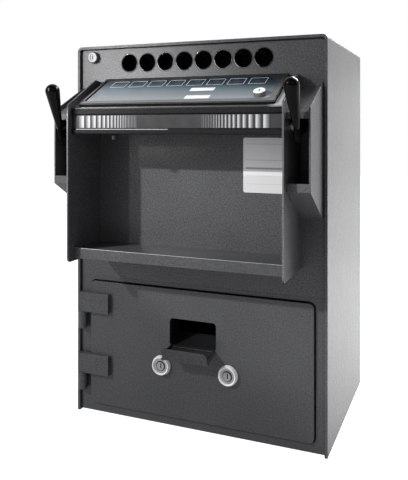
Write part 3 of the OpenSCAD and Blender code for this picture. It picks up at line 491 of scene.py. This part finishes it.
# painted sheen on the keypad frame's top, grey at the front and dark at the back
FRAME_SHADES = [(0.35, (0.14, 0.14, 0.14)), (0.6, (0.05, 0.05, 0.05)), (0.85, (0.018, 0.018, 0.018))]
FRAME_GLOSS = 0.15
# the plate's painted light turns at the edge of the console's shadow
PLATE_SHADES = [(0.05, (0.6, 0.6, 0.6)), (0.95, (0.95, 0.95, 0.95))]
SHADOW_EDGE_Z = (0.51, 0.535)
SATIN_ROUGH = (0.35, 0.45)


def up_the_cover(tree):
    return map_range(tree, axes(tree)["Y"], COVER_LOW[1], COVER_HIGH[1])


def uneven(tree, level, grain, amount):
    # the level with a little of the grain in it
    return math_node(tree, "ADD", level, map_range(tree, grain, 0.2, 0.8, -amount, amount))


def film_with_painted_light(name):
    # grey-blue film with painted light: pale at the front, and painted shade turns it slate towards
    # the back and the right
    material, tree, shader = new_material(name)
    full = 1 + PAINTED_SHADE_TO_THE_RIGHT
    across = map_range(tree, axes(tree)["X"], COVER_LOW[0], COVER_HIGH[0], 0, PAINTED_SHADE_TO_THE_RIGHT)
    shade = math_node(tree, "DIVIDE", math_node(tree, "ADD", up_the_cover(tree), across), full)
    paint(tree, shader, shade, [(level / full, colour) for level, colour in FILM_SHADES])
    fine_grain(tree, shader, FILM_SCALE, rough=(0.16, 0.22), strength=0.02, depth=FACE_DEPTH)
    return material


def graded_bar(name):
    # each bar runs from dark to bright across its width, and the bars near the middle are dimmer
    material, tree, shader = new_material(name)
    from_middle = math_node(tree, "ABSOLUTE", axes(tree)["X"])
    share = map_range(tree, from_middle, *DIM_BARS_X, DIM_BAR_SHARE, 1)
    dim = tree.nodes.new("ShaderNodeMix")
    dim.data_type = "RGBA"
    dim.inputs["A"].default_value = DIM_BAR
    tree.links.new(share, dim.inputs["Factor"])
    tree.links.new(ramp(tree, axes(tree, "UV")["X"], BAR_SHADES), dim.inputs["B"])
    tree.links.new(dim.outputs["Result"], shader.inputs["Base Color"])
    fine_grain(tree, shader, BAR_SCALE, rough=(0.3, 0.4), strength=0.03, depth=FACE_DEPTH)
    return material


def cover_with_painted_light(name):
    # the sheet beside the keypad: painted shade makes it near black on the left, and a painted
    # highlight makes it bright in the right hand corner
    material, tree, shader = new_material(name)
    pebbles = pebble_noise(tree)
    across = map_range(tree, axes(tree)["X"], *HIGHLIGHT_CORNER_X)
    paint(tree, shader, uneven(tree, across, pebbles, 0.05), COVER_SHADES)
    roughen(tree, shader, pebbles, SATIN_ROUGH)
    bump(tree, shader, pebbles, 0.2, PEBBLE_DEPTH)
    return material


def frame_top_with_painted_sheen(name):
    # the top of the black keypad frame with a painted sheen: grey at the front, darker towards the
    # back
    material, tree, shader = new_material(name)
    shader.inputs["Specular IOR Level"].default_value = FRAME_GLOSS
    paint(tree, shader, up_the_cover(tree), FRAME_SHADES)
    fine_grain(tree, shader, MOULDED_SCALE, SATIN_ROUGH, strength=0.05, depth=GRAIN_DEPTH)
    return material


def plate_with_painted_light(name):
    # satin plate with painted light: bright on its upper half, which lies in the console's shadow,
    # and darker on its lower half, where the lamp falls
    material, tree, shader = new_material(name)
    grain = fine_grain(tree, shader, MOULDED_SCALE, SATIN_ROUGH, strength=0.03, depth=FACE_DEPTH)
    up = map_range(tree, axes(tree)["Z"], *SHADOW_EDGE_Z)
    paint(tree, shader, uneven(tree, up, grain, 0.04), PLATE_SHADES)
    return material


FILM = film_with_painted_light("grey_blue_film")
BAR = graded_bar("graded_bar")
COVER_PAINTED_LIGHT = cover_with_painted_light("cover_coat_painted_light")
FRAME_TOP_SHEEN = frame_top_with_painted_sheen("frame_top_painted_sheen")
PLATE = plate_with_painted_light("satin_plate")

SLOT_FINISH = {
    "charcoal_coat": CHARCOAL,
    "dark_coat": NEAR_BLACK,
    "chrome_trim": CHROME,
    "bare_steel": STEEL,
    "zinc_steel": ZINC,
    "gloss_black": GLOSS_BLACK,
    "matte_black": MATTE_BLACK,
    "black_rubber": RUBBER,
    "blue_overlay": FILM,
    "plate_metal": PLATE,
    "stripe_metal": PANEL,
    "black_steel": BLACK_STEEL,
    "green_board": BOARD,
}


def finish_frame():
    for part in frame["record"]["subparts"]:
        node = NODES[part["node"]]
        node.data.materials.clear()
        node.data.materials.append(SLOT_FINISH[part["material_slot"]])


# Soft edges: a merged copy of a CAD piece with a small bevel stands in for it

BEVEL_MM = {
    0.6: ["shell", "back_plate", "front_head", "front_middle", "front_frame", "door_plate",
          "bay_cheek_left", "bay_cheek_right", "bay_shelf", "console_cover", "console_front",
          "wing_left", "wing_right", "hinge_straps", "hinge_barrels", "outlet_scoop",
          "load_sleeves"],
    0.4: ["lock_collars", "lock_bodies", "lock_plug_left", "lock_plug_right", "key_switch_body",
          "key_switch_plug", "upper_lock_body", "upper_lock_plug", "keypad_frame",
          "lever_arm_left", "lever_arm_right", "lever_bushes", "shaft_collars",
          "cable_grommet"],
}
MERGE_WITHIN_M = 0.00001
FLAT_WITHIN_DEGREES = 1
SMOOTH_BEVEL_DEGREES = 35
# bevels that get a painted highlight, which stands for the light caught along their edges
PAINTED_EDGE_HIGHLIGHTS = {
    "bay_cheek_left": EDGE_HIGHLIGHT,
    "bay_cheek_right": EDGE_HIGHLIGHT,
    "console_cover": DIM_EDGE_HIGHLIGHT,
}


def soft_edged(node, width):
    # the pieces listed above show a painted highlight, their second finish, along the bevels
    copy = own_copy(NODES[node], node + "_edged")
    open_piece(copy)
    bpy.ops.mesh.select_all(action="SELECT")
    bpy.ops.mesh.remove_doubles(threshold=MERGE_WITHIN_M)
    bpy.ops.mesh.dissolve_limited(angle_limit=math.radians(FLAT_WITHIN_DEGREES))
    close_piece()
    edge = bevel_edges(copy, width)
    edge.harden_normals = True
    if node in PAINTED_EDGE_HIGHLIGHTS:
        copy.data.materials.append(PAINTED_EDGE_HIGHLIGHTS[node])
        edge.material = 1
    bpy.ops.object.shade_smooth_by_angle(angle=math.radians(SMOOTH_BEVEL_DEGREES))
    bpy.ops.object.modifier_apply(modifier="edge")
    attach(copy, BODY_OF[node])
    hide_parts(node)
    deselect()
    return copy


def two_tone(piece, material, wanted):
    # the faces that are wanted get a second finish
    piece.data.materials.append(material)
    open_piece(piece)
    select_faces(piece, wanted)
    piece.active_material_index = len(piece.data.materials) - 1
    bpy.ops.object.material_slot_assign()
    close_piece()


# Loading holes, counted from 0 at the left

HOLES = 8
HOLE_PITCH = 41.8
HOLE_Z = 742
# the arc of each sleeve's rim, in degrees round the hole, that gets a painted glint
GLINT_FROM_DEGREES = 185
GLINT_TO_DEGREES = 245


def hole_x(number):
    return HOLE_PITCH * (number - (HOLES - 1) / 2)


# Faces with a second finish, picked by where they are and which way they look

OUTLET_HALF_W = 0.12
OUTLET_Z = (0.15, 0.36)


def in_the_scoop(face):
    # the scoop's floor and the inner side of its front plate and gussets
    looks_up = face.normal.z > 0.2
    looks_back = face.normal.y > 0.3
    looks_to_the_middle = face.normal.x * face.calc_center_median().x < -0.0001
    return looks_up or looks_back or looks_to_the_middle


def in_the_outlet(face):
    # the thickness of the door's outlet
    middle = face.calc_center_median()
    looks_aside = abs(face.normal.y) < 0.3
    return looks_aside and abs(middle.x) < OUTLET_HALF_W and OUTLET_Z[0] < middle.z < OUTLET_Z[1]


def shelf_bend(face):
    # the bend along the shelf's top front edge, which gets a painted highlight
    return face.normal.z > 0.5 and face.normal.y < -0.5


def frame_top(face):
    # the top of the keypad frame with the first facet of its bevels, which gets the painted sheen
    return face.normal.dot(OFF_SLOPE) > 0.9


def cheek_top(face):
    # the sloped top of a bay cheek without its bevels
    return face.normal.dot(OFF_SLOPE) > 0.95


def switch_side(face):
    # the side of the key switch, which stands off the slope; the painted reflection is kept to its
    # top
    return face.normal.dot(OFF_SLOPE) < 0.3


def painted_glint_rim(face):
    # the lower left of each sleeve's inner front edge, from the second hole on, where a glint is
    # painted
    middle = face.calc_center_median()
    number = round(middle.x / (HOLE_PITCH * MM) + (HOLES - 1) / 2)
    looks_forward = face.normal.y <= -0.15
    if not 1 <= number < HOLES or not looks_forward:
        return False
    across = middle.x / MM - hole_x(number)
    up = middle.z / MM - HOLE_Z
    turn = math.degrees(math.atan2(up, across)) % 360
    looks_inwards = face.normal.x * across + face.normal.z * up < 0
    return GLINT_FROM_DEGREES < turn < GLINT_TO_DEGREES and looks_inwards


OWN_FINISH = [
    (SHELL_COAT, ["shell"]),
    (DOOR_COAT, ["door_plate", "hinge_straps", "front_frame", "bay_shelf"]),
    (WING_COAT, ["wing_left", "wing_right"]),
    (SCOOP_SHADED_COAT, ["outlet_scoop"]),
    (COVER_PAINTED_LIGHT, ["console_cover"]),
    (FRAME_SIDE, ["keypad_frame"]),
    (SLEEVE_BLACK, ["load_sleeves"]),
    (PAINTED_REFLECTION_WHITE, ["lock_collars", "key_switch_body", "key_switch_plug"]),
    (SATIN_NICKEL, ["lock_bodies", "lock_plug_left", "lock_plug_right"]),
    (DULL_NICKEL, ["upper_lock_body", "upper_lock_plug"]),
]
SECOND_FINISH = {
    "keypad_frame": (FRAME_TOP_SHEEN, frame_top),
    "load_sleeves": (PAINTED_REFLECTION_WHITE, painted_glint_rim),
    "bay_shelf": (SHELF_EDGE_HIGHLIGHT, shelf_bend),
    "bay_cheek_left": (NEAR_BLACK, cheek_top),
    "bay_cheek_right": (NEAR_BLACK, cheek_top),
    "outlet_scoop": (SHADED_COAT, in_the_scoop),
    "door_plate": (SHADED_COAT, in_the_outlet),
    "key_switch_body": (DULL_NICKEL, switch_side),
}


def soften_frame():
    edged = {}
    for width, nodes in BEVEL_MM.items():
        for node in nodes:
            edged[node] = soft_edged(node, width)
    for material, nodes in OWN_FINISH:
        for node in nodes:
            edged[node].data.materials[0] = material
    for node, (material, wanted) in SECOND_FINISH.items():
        two_tone(edged[node], material, wanted)


# Handles: a long taper that runs into a ball head. Each leans forward and a little inwards

FOOT_REACH = 108
FOOT_Z = 605
HANDLE_X = 240
HANDLE_LEAN = 20.3
HANDLE_LEAN_IN = 2
HANDLE_FOOT_R = 5.5
HANDLE_HEAD_R = 13.98
HANDLE_L = 92
HANDLE_SIDES = 56
FOOT_CHAMFER_UP = 0.9
FOOT_CHAMFER_IN = 0.8
TAPER_RINGS = 6
BALL_RINGS = 14
POLE_RING = 88


def ball_end(radius, start):
    # steps round a ball of this radius, from an angle above its middle up to its pole
    angles = [start + (90 - start) * turn / BALL_RINGS for turn in range(BALL_RINGS)]
    angles.append(POLE_RING)
    steps = []
    for before, after in zip(angles, angles[1:]):
        rise = radius * (math.sin(math.radians(after)) - math.sin(math.radians(before)))
        steps.append((rise, radius * math.cos(math.radians(after))))
    return steps


def lever_handle(side):
    neck = HANDLE_L - HANDLE_HEAD_R
    tangent = math.degrees(math.asin((HANDLE_HEAD_R - HANDLE_FOOT_R) / neck))
    taper_l = neck - HANDLE_HEAD_R * math.sin(math.radians(tangent))
    taper_r = HANDLE_HEAD_R * math.cos(math.radians(tangent))
    steps = [(FOOT_CHAMFER_UP, HANDLE_FOOT_R)]
    for number in range(1, TAPER_RINGS + 1):
        reached = HANDLE_FOOT_R + (taper_r - HANDLE_FOOT_R) * number / TAPER_RINGS
        steps.append(((taper_l - FOOT_CHAMFER_UP) / TAPER_RINGS, reached))
    steps += ball_end(HANDLE_HEAD_R, -tangent)
    handle = turned("handle_" + side, HANDLE_FOOT_R - FOOT_CHAMFER_IN, steps, HANDLE_SIDES)
    way = 1 if side == "right" else -1
    foot = from_lip(way * HANDLE_X, -FOOT_REACH, FOOT_Z)
    put(handle, foot, (HANDLE_LEAN, -way * HANDLE_LEAN_IN, 0))
    finish(handle, GLOSS_BLACK, "levers", smooth=50)
    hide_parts("lever_handle_" + side)


# Stripe panel: bars that narrow towards the bare middle

BAR_LOW = 607
BAR_HIGH = 630.5
BAR_FACE_Y = -101.2
BAR_DEPTH = 0.5
WIDEST_BAR = 11.8
WIDEST_GAP = 4.0
BAR_SHRINK = 0.86
GAP_SHRINK = 0.95
BARS = 12
FINE_BARS = 7
FINE_W = 1.2
FINE_GAP = 2.0
LEFT_BARS_EDGE = 199.7
RIGHT_BARS_EDGE = 190.5


def bar_face(face):
    return face.normal.y < -0.9


def stripe_group(name, way, edge):
    # way is -1 for the left group and 1 for the right one, edge is where the widest bar starts
    places = []
    scales = []
    for number in range(BARS + FINE_BARS):
        width = WIDEST_BAR * BAR_SHRINK ** number if number < BARS else FINE_W
        gap = WIDEST_GAP * GAP_SHRINK ** number if number < BARS else FINE_GAP
        places.append(from_lip(way * (edge - width / 2), BAR_FACE_Y, (BAR_LOW + BAR_HIGH) / 2))
        scales.append((width, 1, 1))
        edge -= width + gap
    first = slab(name, 1, BAR_HIGH - BAR_LOW, BAR_DEPTH)
    half_turn = 180 if way > 0 else 0
    group = repeated(first, (90, half_turn, 0), places, scales)
    open_piece(group)
    select_faces(group, bar_face)
    bpy.ops.uv.reset()
    close_piece()
    finish(group, BAR, FIXED)


# Keypad: pale outlines round the key fields, two bare labels and a black strip of painted shade
# beside the film

KEYS = 8
KEY_W = 33.5
KEY_L = 27
KEY_CORNER = 2
KEY_CORNER_STEPS = 3
OUTLINE_W = 0.9
OUTLINE_T = 0.15
KEY_PITCH = 42.29
FIRST_KEY_X = -149.75
KEYS_UP = 89
FILM_TOP = 7.4
LABEL_SIZE = (49.4, 13.4, 0.3)
LABEL_CORNER = 1.4
LABELS_AT = [(45.5, 56), (47.5, 22)]
FILM_SHADOW_SIZE = (4.2, 94, 0.6)
FILM_SHADOW_AT = (-189.4, 62, 7)


def key_outlines():
    first = open_sheet("key_outlines", KEY_W, KEY_L, KEY_CORNER, KEY_CORNER_STEPS)
    cut_hole(OUTLINE_W)
    thicken(OUTLINE_T)
    places = [on_slope(FIRST_KEY_X + KEY_PITCH * number, KEYS_UP, FILM_TOP) for number in range(KEYS)]
    finish(repeated(first, ON_SLOPE, places), OUTLINE, FIXED)


def bare_labels():
    first = slab("bare_labels", *LABEL_SIZE, LABEL_CORNER)
    places = [on_slope(x, up, FILM_TOP) for x, up in LABELS_AT]
    finish(repeated(first, ON_SLOPE, places), LABEL, FIXED, 0.1)


def film_edge_shadow():
    # a black strip along the film's left edge, painted shade of the frame's recess wall
    gap = slab("film_edge_shadow", *FILM_SHADOW_SIZE)
    put(gap, on_slope(*FILM_SHADOW_AT), ON_SLOPE)
    finish(gap, BLACK_STEEL, FIXED)


# Rating plate: plain ruled lines on the bare plate

LINES_X = 150.5
LINE_L = 81
LINE_RISE = 0.1
PLATE_FACE_Y = 5.2
LINE_W_AT_Z = {576: 0.6, 545: 0.5, 529: 3.2, 514: 0.5, 499: 0.5}


def plate_lines():
    first = slab("plate_lines", LINE_L, 1, LINE_RISE)
    places = [from_lip(LINES_X, PLATE_FACE_Y, z) for z in LINE_W_AT_Z]
    scales = [(1, width, 1) for width in LINE_W_AT_Z.values()]
    finish(repeated(first, AGAINST_FRONT, places, scales), RULE, FIXED)


# Loading holes: a thin flat lip round each sleeve

FASCIA_Y = 6
LIP_R = 20.2
LIP_INNER_R = 18.6
LIP_UP = 0.35
LIP_SIDES = 64


def hole_lips():
    first = ring("hole_lips", LIP_R, LIP_SIDES, LIP_R - LIP_INNER_R, LIP_UP)
    places = [from_lip(hole_x(number), FASCIA_Y, HOLE_Z) for number in range(HOLES)]
    finish(repeated(first, AGAINST_FRONT, places), MATTE_BLACK, FIXED, 0.1, 1)


# A painted highlight along the upper edge of the lower rail, on its left half

RAIL_HIGHLIGHT_SIZE = (200, 1.6, 0.3)
RAIL_HIGHLIGHT_CORNER = 0.5
RAIL_HIGHLIGHT_AT = (-105, -102.6, 604)


def rail_edge_highlight():
    edge = slab("rail_edge_highlight", *RAIL_HIGHLIGHT_SIZE, RAIL_HIGHLIGHT_CORNER)
    put(edge, from_lip(*RAIL_HIGHLIGHT_AT), AGAINST_FRONT)
    finish(edge, EDGE_HIGHLIGHT, FIXED)


# Keyholes: painted shade, a black sheet at each keyway that stands for the dark inside it

LEFT_LOCK_X = -68
RIGHT_LOCK_X = 76
LOCKS_Z = 124.5
KEYHOLE_W = 2.3
KEYHOLE_T = 0.25
KEYHOLE_CORNER = 0.6
DOOR_KEYHOLE_L = 10.5
UPPER_KEYHOLE_L = 7.6
SWITCH_KEYHOLE_L = 7.2
PLUG_FACE_Y = -5
UPPER_LOCK_AT = (-232, -1, 757)
KEY_SWITCH_AT = (167, 26, 16.5)


def keyhole_shade(name, length, place, turn, body):
    hole = slab(name, KEYHOLE_W, length, KEYHOLE_T, KEYHOLE_CORNER)
    put(hole, place, turn)
    finish(hole, MATTE_BLACK, body)


def keyhole_shades():
    left = from_lip(LEFT_LOCK_X, PLUG_FACE_Y, LOCKS_Z)
    right = from_lip(RIGHT_LOCK_X, PLUG_FACE_Y, LOCKS_Z)
    upper = from_lip(*UPPER_LOCK_AT)
    switch = on_slope(*KEY_SWITCH_AT)
    keyhole_shade("left_keyhole_shade", DOOR_KEYHOLE_L, left, AGAINST_FRONT, "left_lock")
    keyhole_shade("right_keyhole_shade", DOOR_KEYHOLE_L, right, AGAINST_FRONT, "right_lock")
    keyhole_shade("upper_keyhole_shade", UPPER_KEYHOLE_L, upper, AGAINST_FRONT, "upper_lock")
    keyhole_shade("switch_keyhole_shade", SWITCH_KEYHOLE_L, switch, ON_SLOPE, "key_switch")


# Painted shade: a dark crescent between each lock's body and its plug, and a painted shadow at the
# top right of the left collar

CRESCENT_R = 10.4
CRESCENT_SIDES = 56
CRESCENT_W = 1.8
CRESCENT_T = 0.25
CRESCENT_HOLE_OFF = (-1.3, -0.9)
LOCK_FACE_Y = -6
COLLAR_SHADOW_SIZE = (5.5, 4.5, 1.6)
COLLAR_SHADOW_CORNER = 0.8
COLLAR_SHADOW_FROM_LOCK = (5.5, 15.6)
COLLAR_SHADOW_Y = -7.6
COLLAR_SHADOW_TILT = 20


def shade_crescent(name, x):
    # a black ring of painted shade whose hole sits off its middle, so that it is wide on the upper
    # right
    piece = ring(name, CRESCENT_R, CRESCENT_SIDES, CRESCENT_W, CRESCENT_T, CRESCENT_HOLE_OFF)
    put(piece, from_lip(x, LOCK_FACE_Y, LOCKS_Z), AGAINST_FRONT)
    finish(piece, MATTE_BLACK, BODY_OF["lock_bodies"])


def lock_details():
    shade_crescent("left_shade_crescent", LEFT_LOCK_X)
    shade_crescent("right_shade_crescent", RIGHT_LOCK_X)
    across, up = COLLAR_SHADOW_FROM_LOCK
    # a dark patch of painted shadow at the top right of the left collar
    collar_shadow = slab("collar_shadow_patch", *COLLAR_SHADOW_SIZE, COLLAR_SHADOW_CORNER)
    put(collar_shadow, from_lip(LEFT_LOCK_X + across, COLLAR_SHADOW_Y, LOCKS_Z + up), (90, COLLAR_SHADOW_TILT, 0))
    finish(collar_shadow, MATTE_BLACK, BODY_OF["lock_collars"])


# Thumb screw: a neck and a knurled head under the console

SCREW_AT = (-125, -90, 583.5)
HEAD_L = 9.5
HEAD_R = 6
HEAD_CHAMFER_UP = 0.5
HEAD_CHAMFER_IN = 0.6
SHOULDER_UP = 0.01
NECK_R = 3
NECK_L = 2.0
KNURL_SIDES = 40
KNURL_MARGIN = 0.15
KNURL_DEPTH = 0.4


def every_other_side(face):
    # every second face round the head, and none of the neck
    middle = face.calc_center_median()
    looks_out = abs(face.normal.z) <= 0.1
    on_the_head = middle.xy.length >= 5 * MM
    turn = math.degrees(math.atan2(middle.y, middle.x)) + 360
    number = int(turn // (360 / KNURL_SIDES))
    return looks_out and on_the_head and number % 2 == 0


def thumb_screw():
    chamfered_r = HEAD_R - HEAD_CHAMFER_IN
    steps = [(HEAD_CHAMFER_UP, HEAD_R), (HEAD_L - 2 * HEAD_CHAMFER_UP, HEAD_R),
             (HEAD_CHAMFER_UP, chamfered_r), (SHOULDER_UP, NECK_R), (NECK_L, NECK_R)]
    screw = turned("knurled_screw", chamfered_r, steps, KNURL_SIDES)
    open_piece(screw)
    select_faces(screw, every_other_side)
    bpy.ops.mesh.inset(thickness=KNURL_MARGIN * MM, depth=-KNURL_DEPTH * MM, use_individual=True)
    close_piece()
    put(screw, from_lip(*SCREW_AT))
    finish(screw, SCREW_BLACK, FIXED)
    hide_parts("thumb_screw")


# Camera, fitted to the photograph's edges

PHOTO_HEIGHT_PX = 480
FOCAL_PX = 636.1
CENTRE_UP_PX = 112.2
SENSOR_MM = 36
CAMERA_AT = (507.6, -1162.6, 607.0)
CAMERA_TURN = 22.55
SEES_AS_FAR_AS = 50


def place_camera():
    data = bpy.data.cameras.new("camera")
    camera = bpy.data.objects.new("camera", data)
    bpy.context.collection.objects.link(camera)
    data.sensor_fit = "AUTO"
    data.sensor_width = SENSOR_MM
    data.lens = FOCAL_PX * SENSOR_MM / PHOTO_HEIGHT_PX
    data.shift_y = -CENTRE_UP_PX / PHOTO_HEIGHT_PX
    data.clip_end = SEES_AS_FAR_AS
    camera.location = from_lip(*CAMERA_AT)
    camera.rotation_euler = (math.radians(90), 0, math.radians(CAMERA_TURN))
    bpy.context.scene.camera = camera


# Lamps: two narrow key lamps throw the sharp shadows, the panels add soft light and glints

SPOT_R = 0.02


def new_lamp(name, kind, power):
    data = bpy.data.lights.new(name, kind)
    data.energy = power
    lamp = bpy.data.objects.new(name, data)
    bpy.context.collection.objects.link(lamp)
    return lamp


def shine_along(lamp, way):
    lamp.rotation_euler = way.to_track_quat("-Z", "Y").to_euler()


def aim(lamp, place, target):
    lamp.location = place
    shine_along(lamp, Vector(target) - lamp.location)


def add_spot(name, place, target, power, cone, blend):
    lamp = new_lamp(name, "SPOT", power)
    lamp.data.spot_size = math.radians(cone)
    lamp.data.spot_blend = blend
    lamp.data.shadow_soft_size = SPOT_R
    aim(lamp, place, target)


def add_sun(name, way, power, angle):
    lamp = new_lamp(name, "SUN", power)
    lamp.data.angle = math.radians(angle)
    shine_along(lamp, Vector(way))


def add_panel(name, place, target, size, power):
    lamp = new_lamp(name, "AREA", power)
    lamp.data.shape = "RECTANGLE"
    lamp.data.size, lamp.data.size_y = size
    aim(lamp, place, target)
    lamp.visible_camera = False


def hang_lamps():
    # where each lamp stands and what it shines at, in metres; a spot's cone is in degrees
    add_spot("bay_key", (-1.58, -2.0, 1.75), (0.0, -0.25, 0.5), 200, 12, 0.4)
    add_spot("fascia_key", (-1.6, -2.1, 1.05), (-0.19, -0.264, 0.71), 105, 8, 1.0)
    add_sun("soft_key", (0.81, 1, -0.675), 0.4, 50)
    add_panel("left_high", (-1.62, -2.05, 1.78), (-0.25, -0.25, 0.72), (0.12, 0.1), 38)
    add_panel("tall_strip", (-0.85, -1.42, 0.85), (0.24, -0.38, 0.65), (0.035, 1.1), 1.8)
    add_panel("glint", (1.5, -2.2, 1.7), (0.0, -0.3, 0.7), (0.25, 0.4), 3)
    add_panel("behind", (0.8, 2.5, 0.42), (0.27, 0.1, 0.45), (0.9, 1.0), 2.7)
    add_panel("over_the_floor", (0.7, 1.0, 1.7), (0.55, 0.9, 0), (1.2, 1.2), 95)


# Studio and floor: white to the camera, and in reflections dim in front and white behind

AMBIENT = 0.36
AMBIENT_COLOUR = (0.95, 0.97, 1.0, 1)
STUDIO_FRONT = 0.05
STUDIO_BEHIND = 1.0
STUDIO_TURNS = (-0.15, 0.35)
FLOOR_SIZE = 14
FLOOR_COLOUR = (0.5, 0.5, 0.5, 1)
FLOOR_FRONT = 0.36
FLOOR_BEHIND = 1.0
FLOOR_TURNS = (-0.3, 0.4)
FLOOR_RIGHT = 0.25
DIM_RIGHT_X = (-0.5, 0.35)
NOT_DIM_BEHIND_Y = (-0.3, 0)


def seen_white(tree):
    # 1 for what the camera sees straight, in a reflection or through a surface
    path = tree.nodes.new("ShaderNodeLightPath").outputs
    mirrored = math_node(tree, "MAXIMUM", path["Is Glossy Ray"], path["Is Transmission Ray"])
    return math_node(tree, "MAXIMUM", path["Is Camera Ray"], mirrored)


def white_behind(tree, along, turns, front, behind, dim=1.0):
    # full white for the camera, else the front level, which turns into the one behind
    path = tree.nodes.new("ShaderNodeLightPath").outputs
    level = math_node(tree, "MULTIPLY", map_range(tree, along, *turns, front, behind), dim)
    return math_node(tree, "MAXIMUM", path["Is Camera Ray"], level)


def light_world():
    world = bpy.data.worlds.new("studio")
    bpy.context.scene.world = world
    tree, output = fresh_tree(world, "ShaderNodeOutputWorld")
    mix = tree.nodes.new("ShaderNodeMixShader")
    ambient = tree.nodes.new("ShaderNodeBackground")
    ambient.inputs["Color"].default_value = AMBIENT_COLOUR
    ambient.inputs["Strength"].default_value = AMBIENT
    white = tree.nodes.new("ShaderNodeBackground")
    white.inputs["Color"].default_value = (1, 1, 1, 1)
    depth = axes(tree, "Generated")["Y"]
    level = white_behind(tree, depth, STUDIO_TURNS, STUDIO_FRONT, STUDIO_BEHIND)
    tree.links.new(level, white.inputs["Strength"])
    tree.links.new(seen_white(tree), mix.inputs["Fac"])
    tree.links.new(ambient.outputs[0], mix.inputs[1])
    tree.links.new(white.outputs[0], mix.inputs[2])
    tree.links.new(mix.outputs[0], output.inputs["Surface"])


def lay_floor():
    bpy.ops.mesh.primitive_plane_add(size=FLOOR_SIZE)
    floor = bpy.context.active_object
    floor.name = "floor"
    material = bpy.data.materials.new("pale_floor")
    tree, output = fresh_tree(material, "ShaderNodeOutputMaterial")
    add = tree.nodes.new("ShaderNodeAddShader")
    diffuse = tree.nodes.new("ShaderNodeBsdfDiffuse")
    diffuse.inputs["Color"].default_value = FLOOR_COLOUR
    glow = tree.nodes.new("ShaderNodeEmission")
    place = axes(tree)
    to_the_right = map_range(tree, place["X"], *DIM_RIGHT_X, 1, FLOOR_RIGHT)
    towards_the_back = map_range(tree, place["Y"], *NOT_DIM_BEHIND_Y)
    dim = math_node(tree, "MAXIMUM", to_the_right, towards_the_back)
    level = white_behind(tree, place["Y"], FLOOR_TURNS, FLOOR_FRONT, FLOOR_BEHIND, dim)
    tree.links.new(math_node(tree, "MULTIPLY", level, seen_white(tree)), glow.inputs["Strength"])
    tree.links.new(diffuse.outputs[0], add.inputs[0])
    tree.links.new(glow.outputs[0], add.inputs[1])
    tree.links.new(add.outputs[0], output.inputs["Surface"])
    floor.data.materials.append(material)


deselect()
finish_frame()
place_camera()
light_world()
lay_floor()
hang_lamps()
bpy.context.scene.view_settings.view_transform = "Standard"

soften_frame()
for side in ("left", "right"):
    lever_handle(side)
stripe_group("bars_left", -1, LEFT_BARS_EDGE)
stripe_group("bars_right", 1, RIGHT_BARS_EDGE)
key_outlines()
bare_labels()
plate_lines()
hole_lips()
film_edge_shadow()
rail_edge_highlight()
keyhole_shades()
lock_details()
thumb_screw()
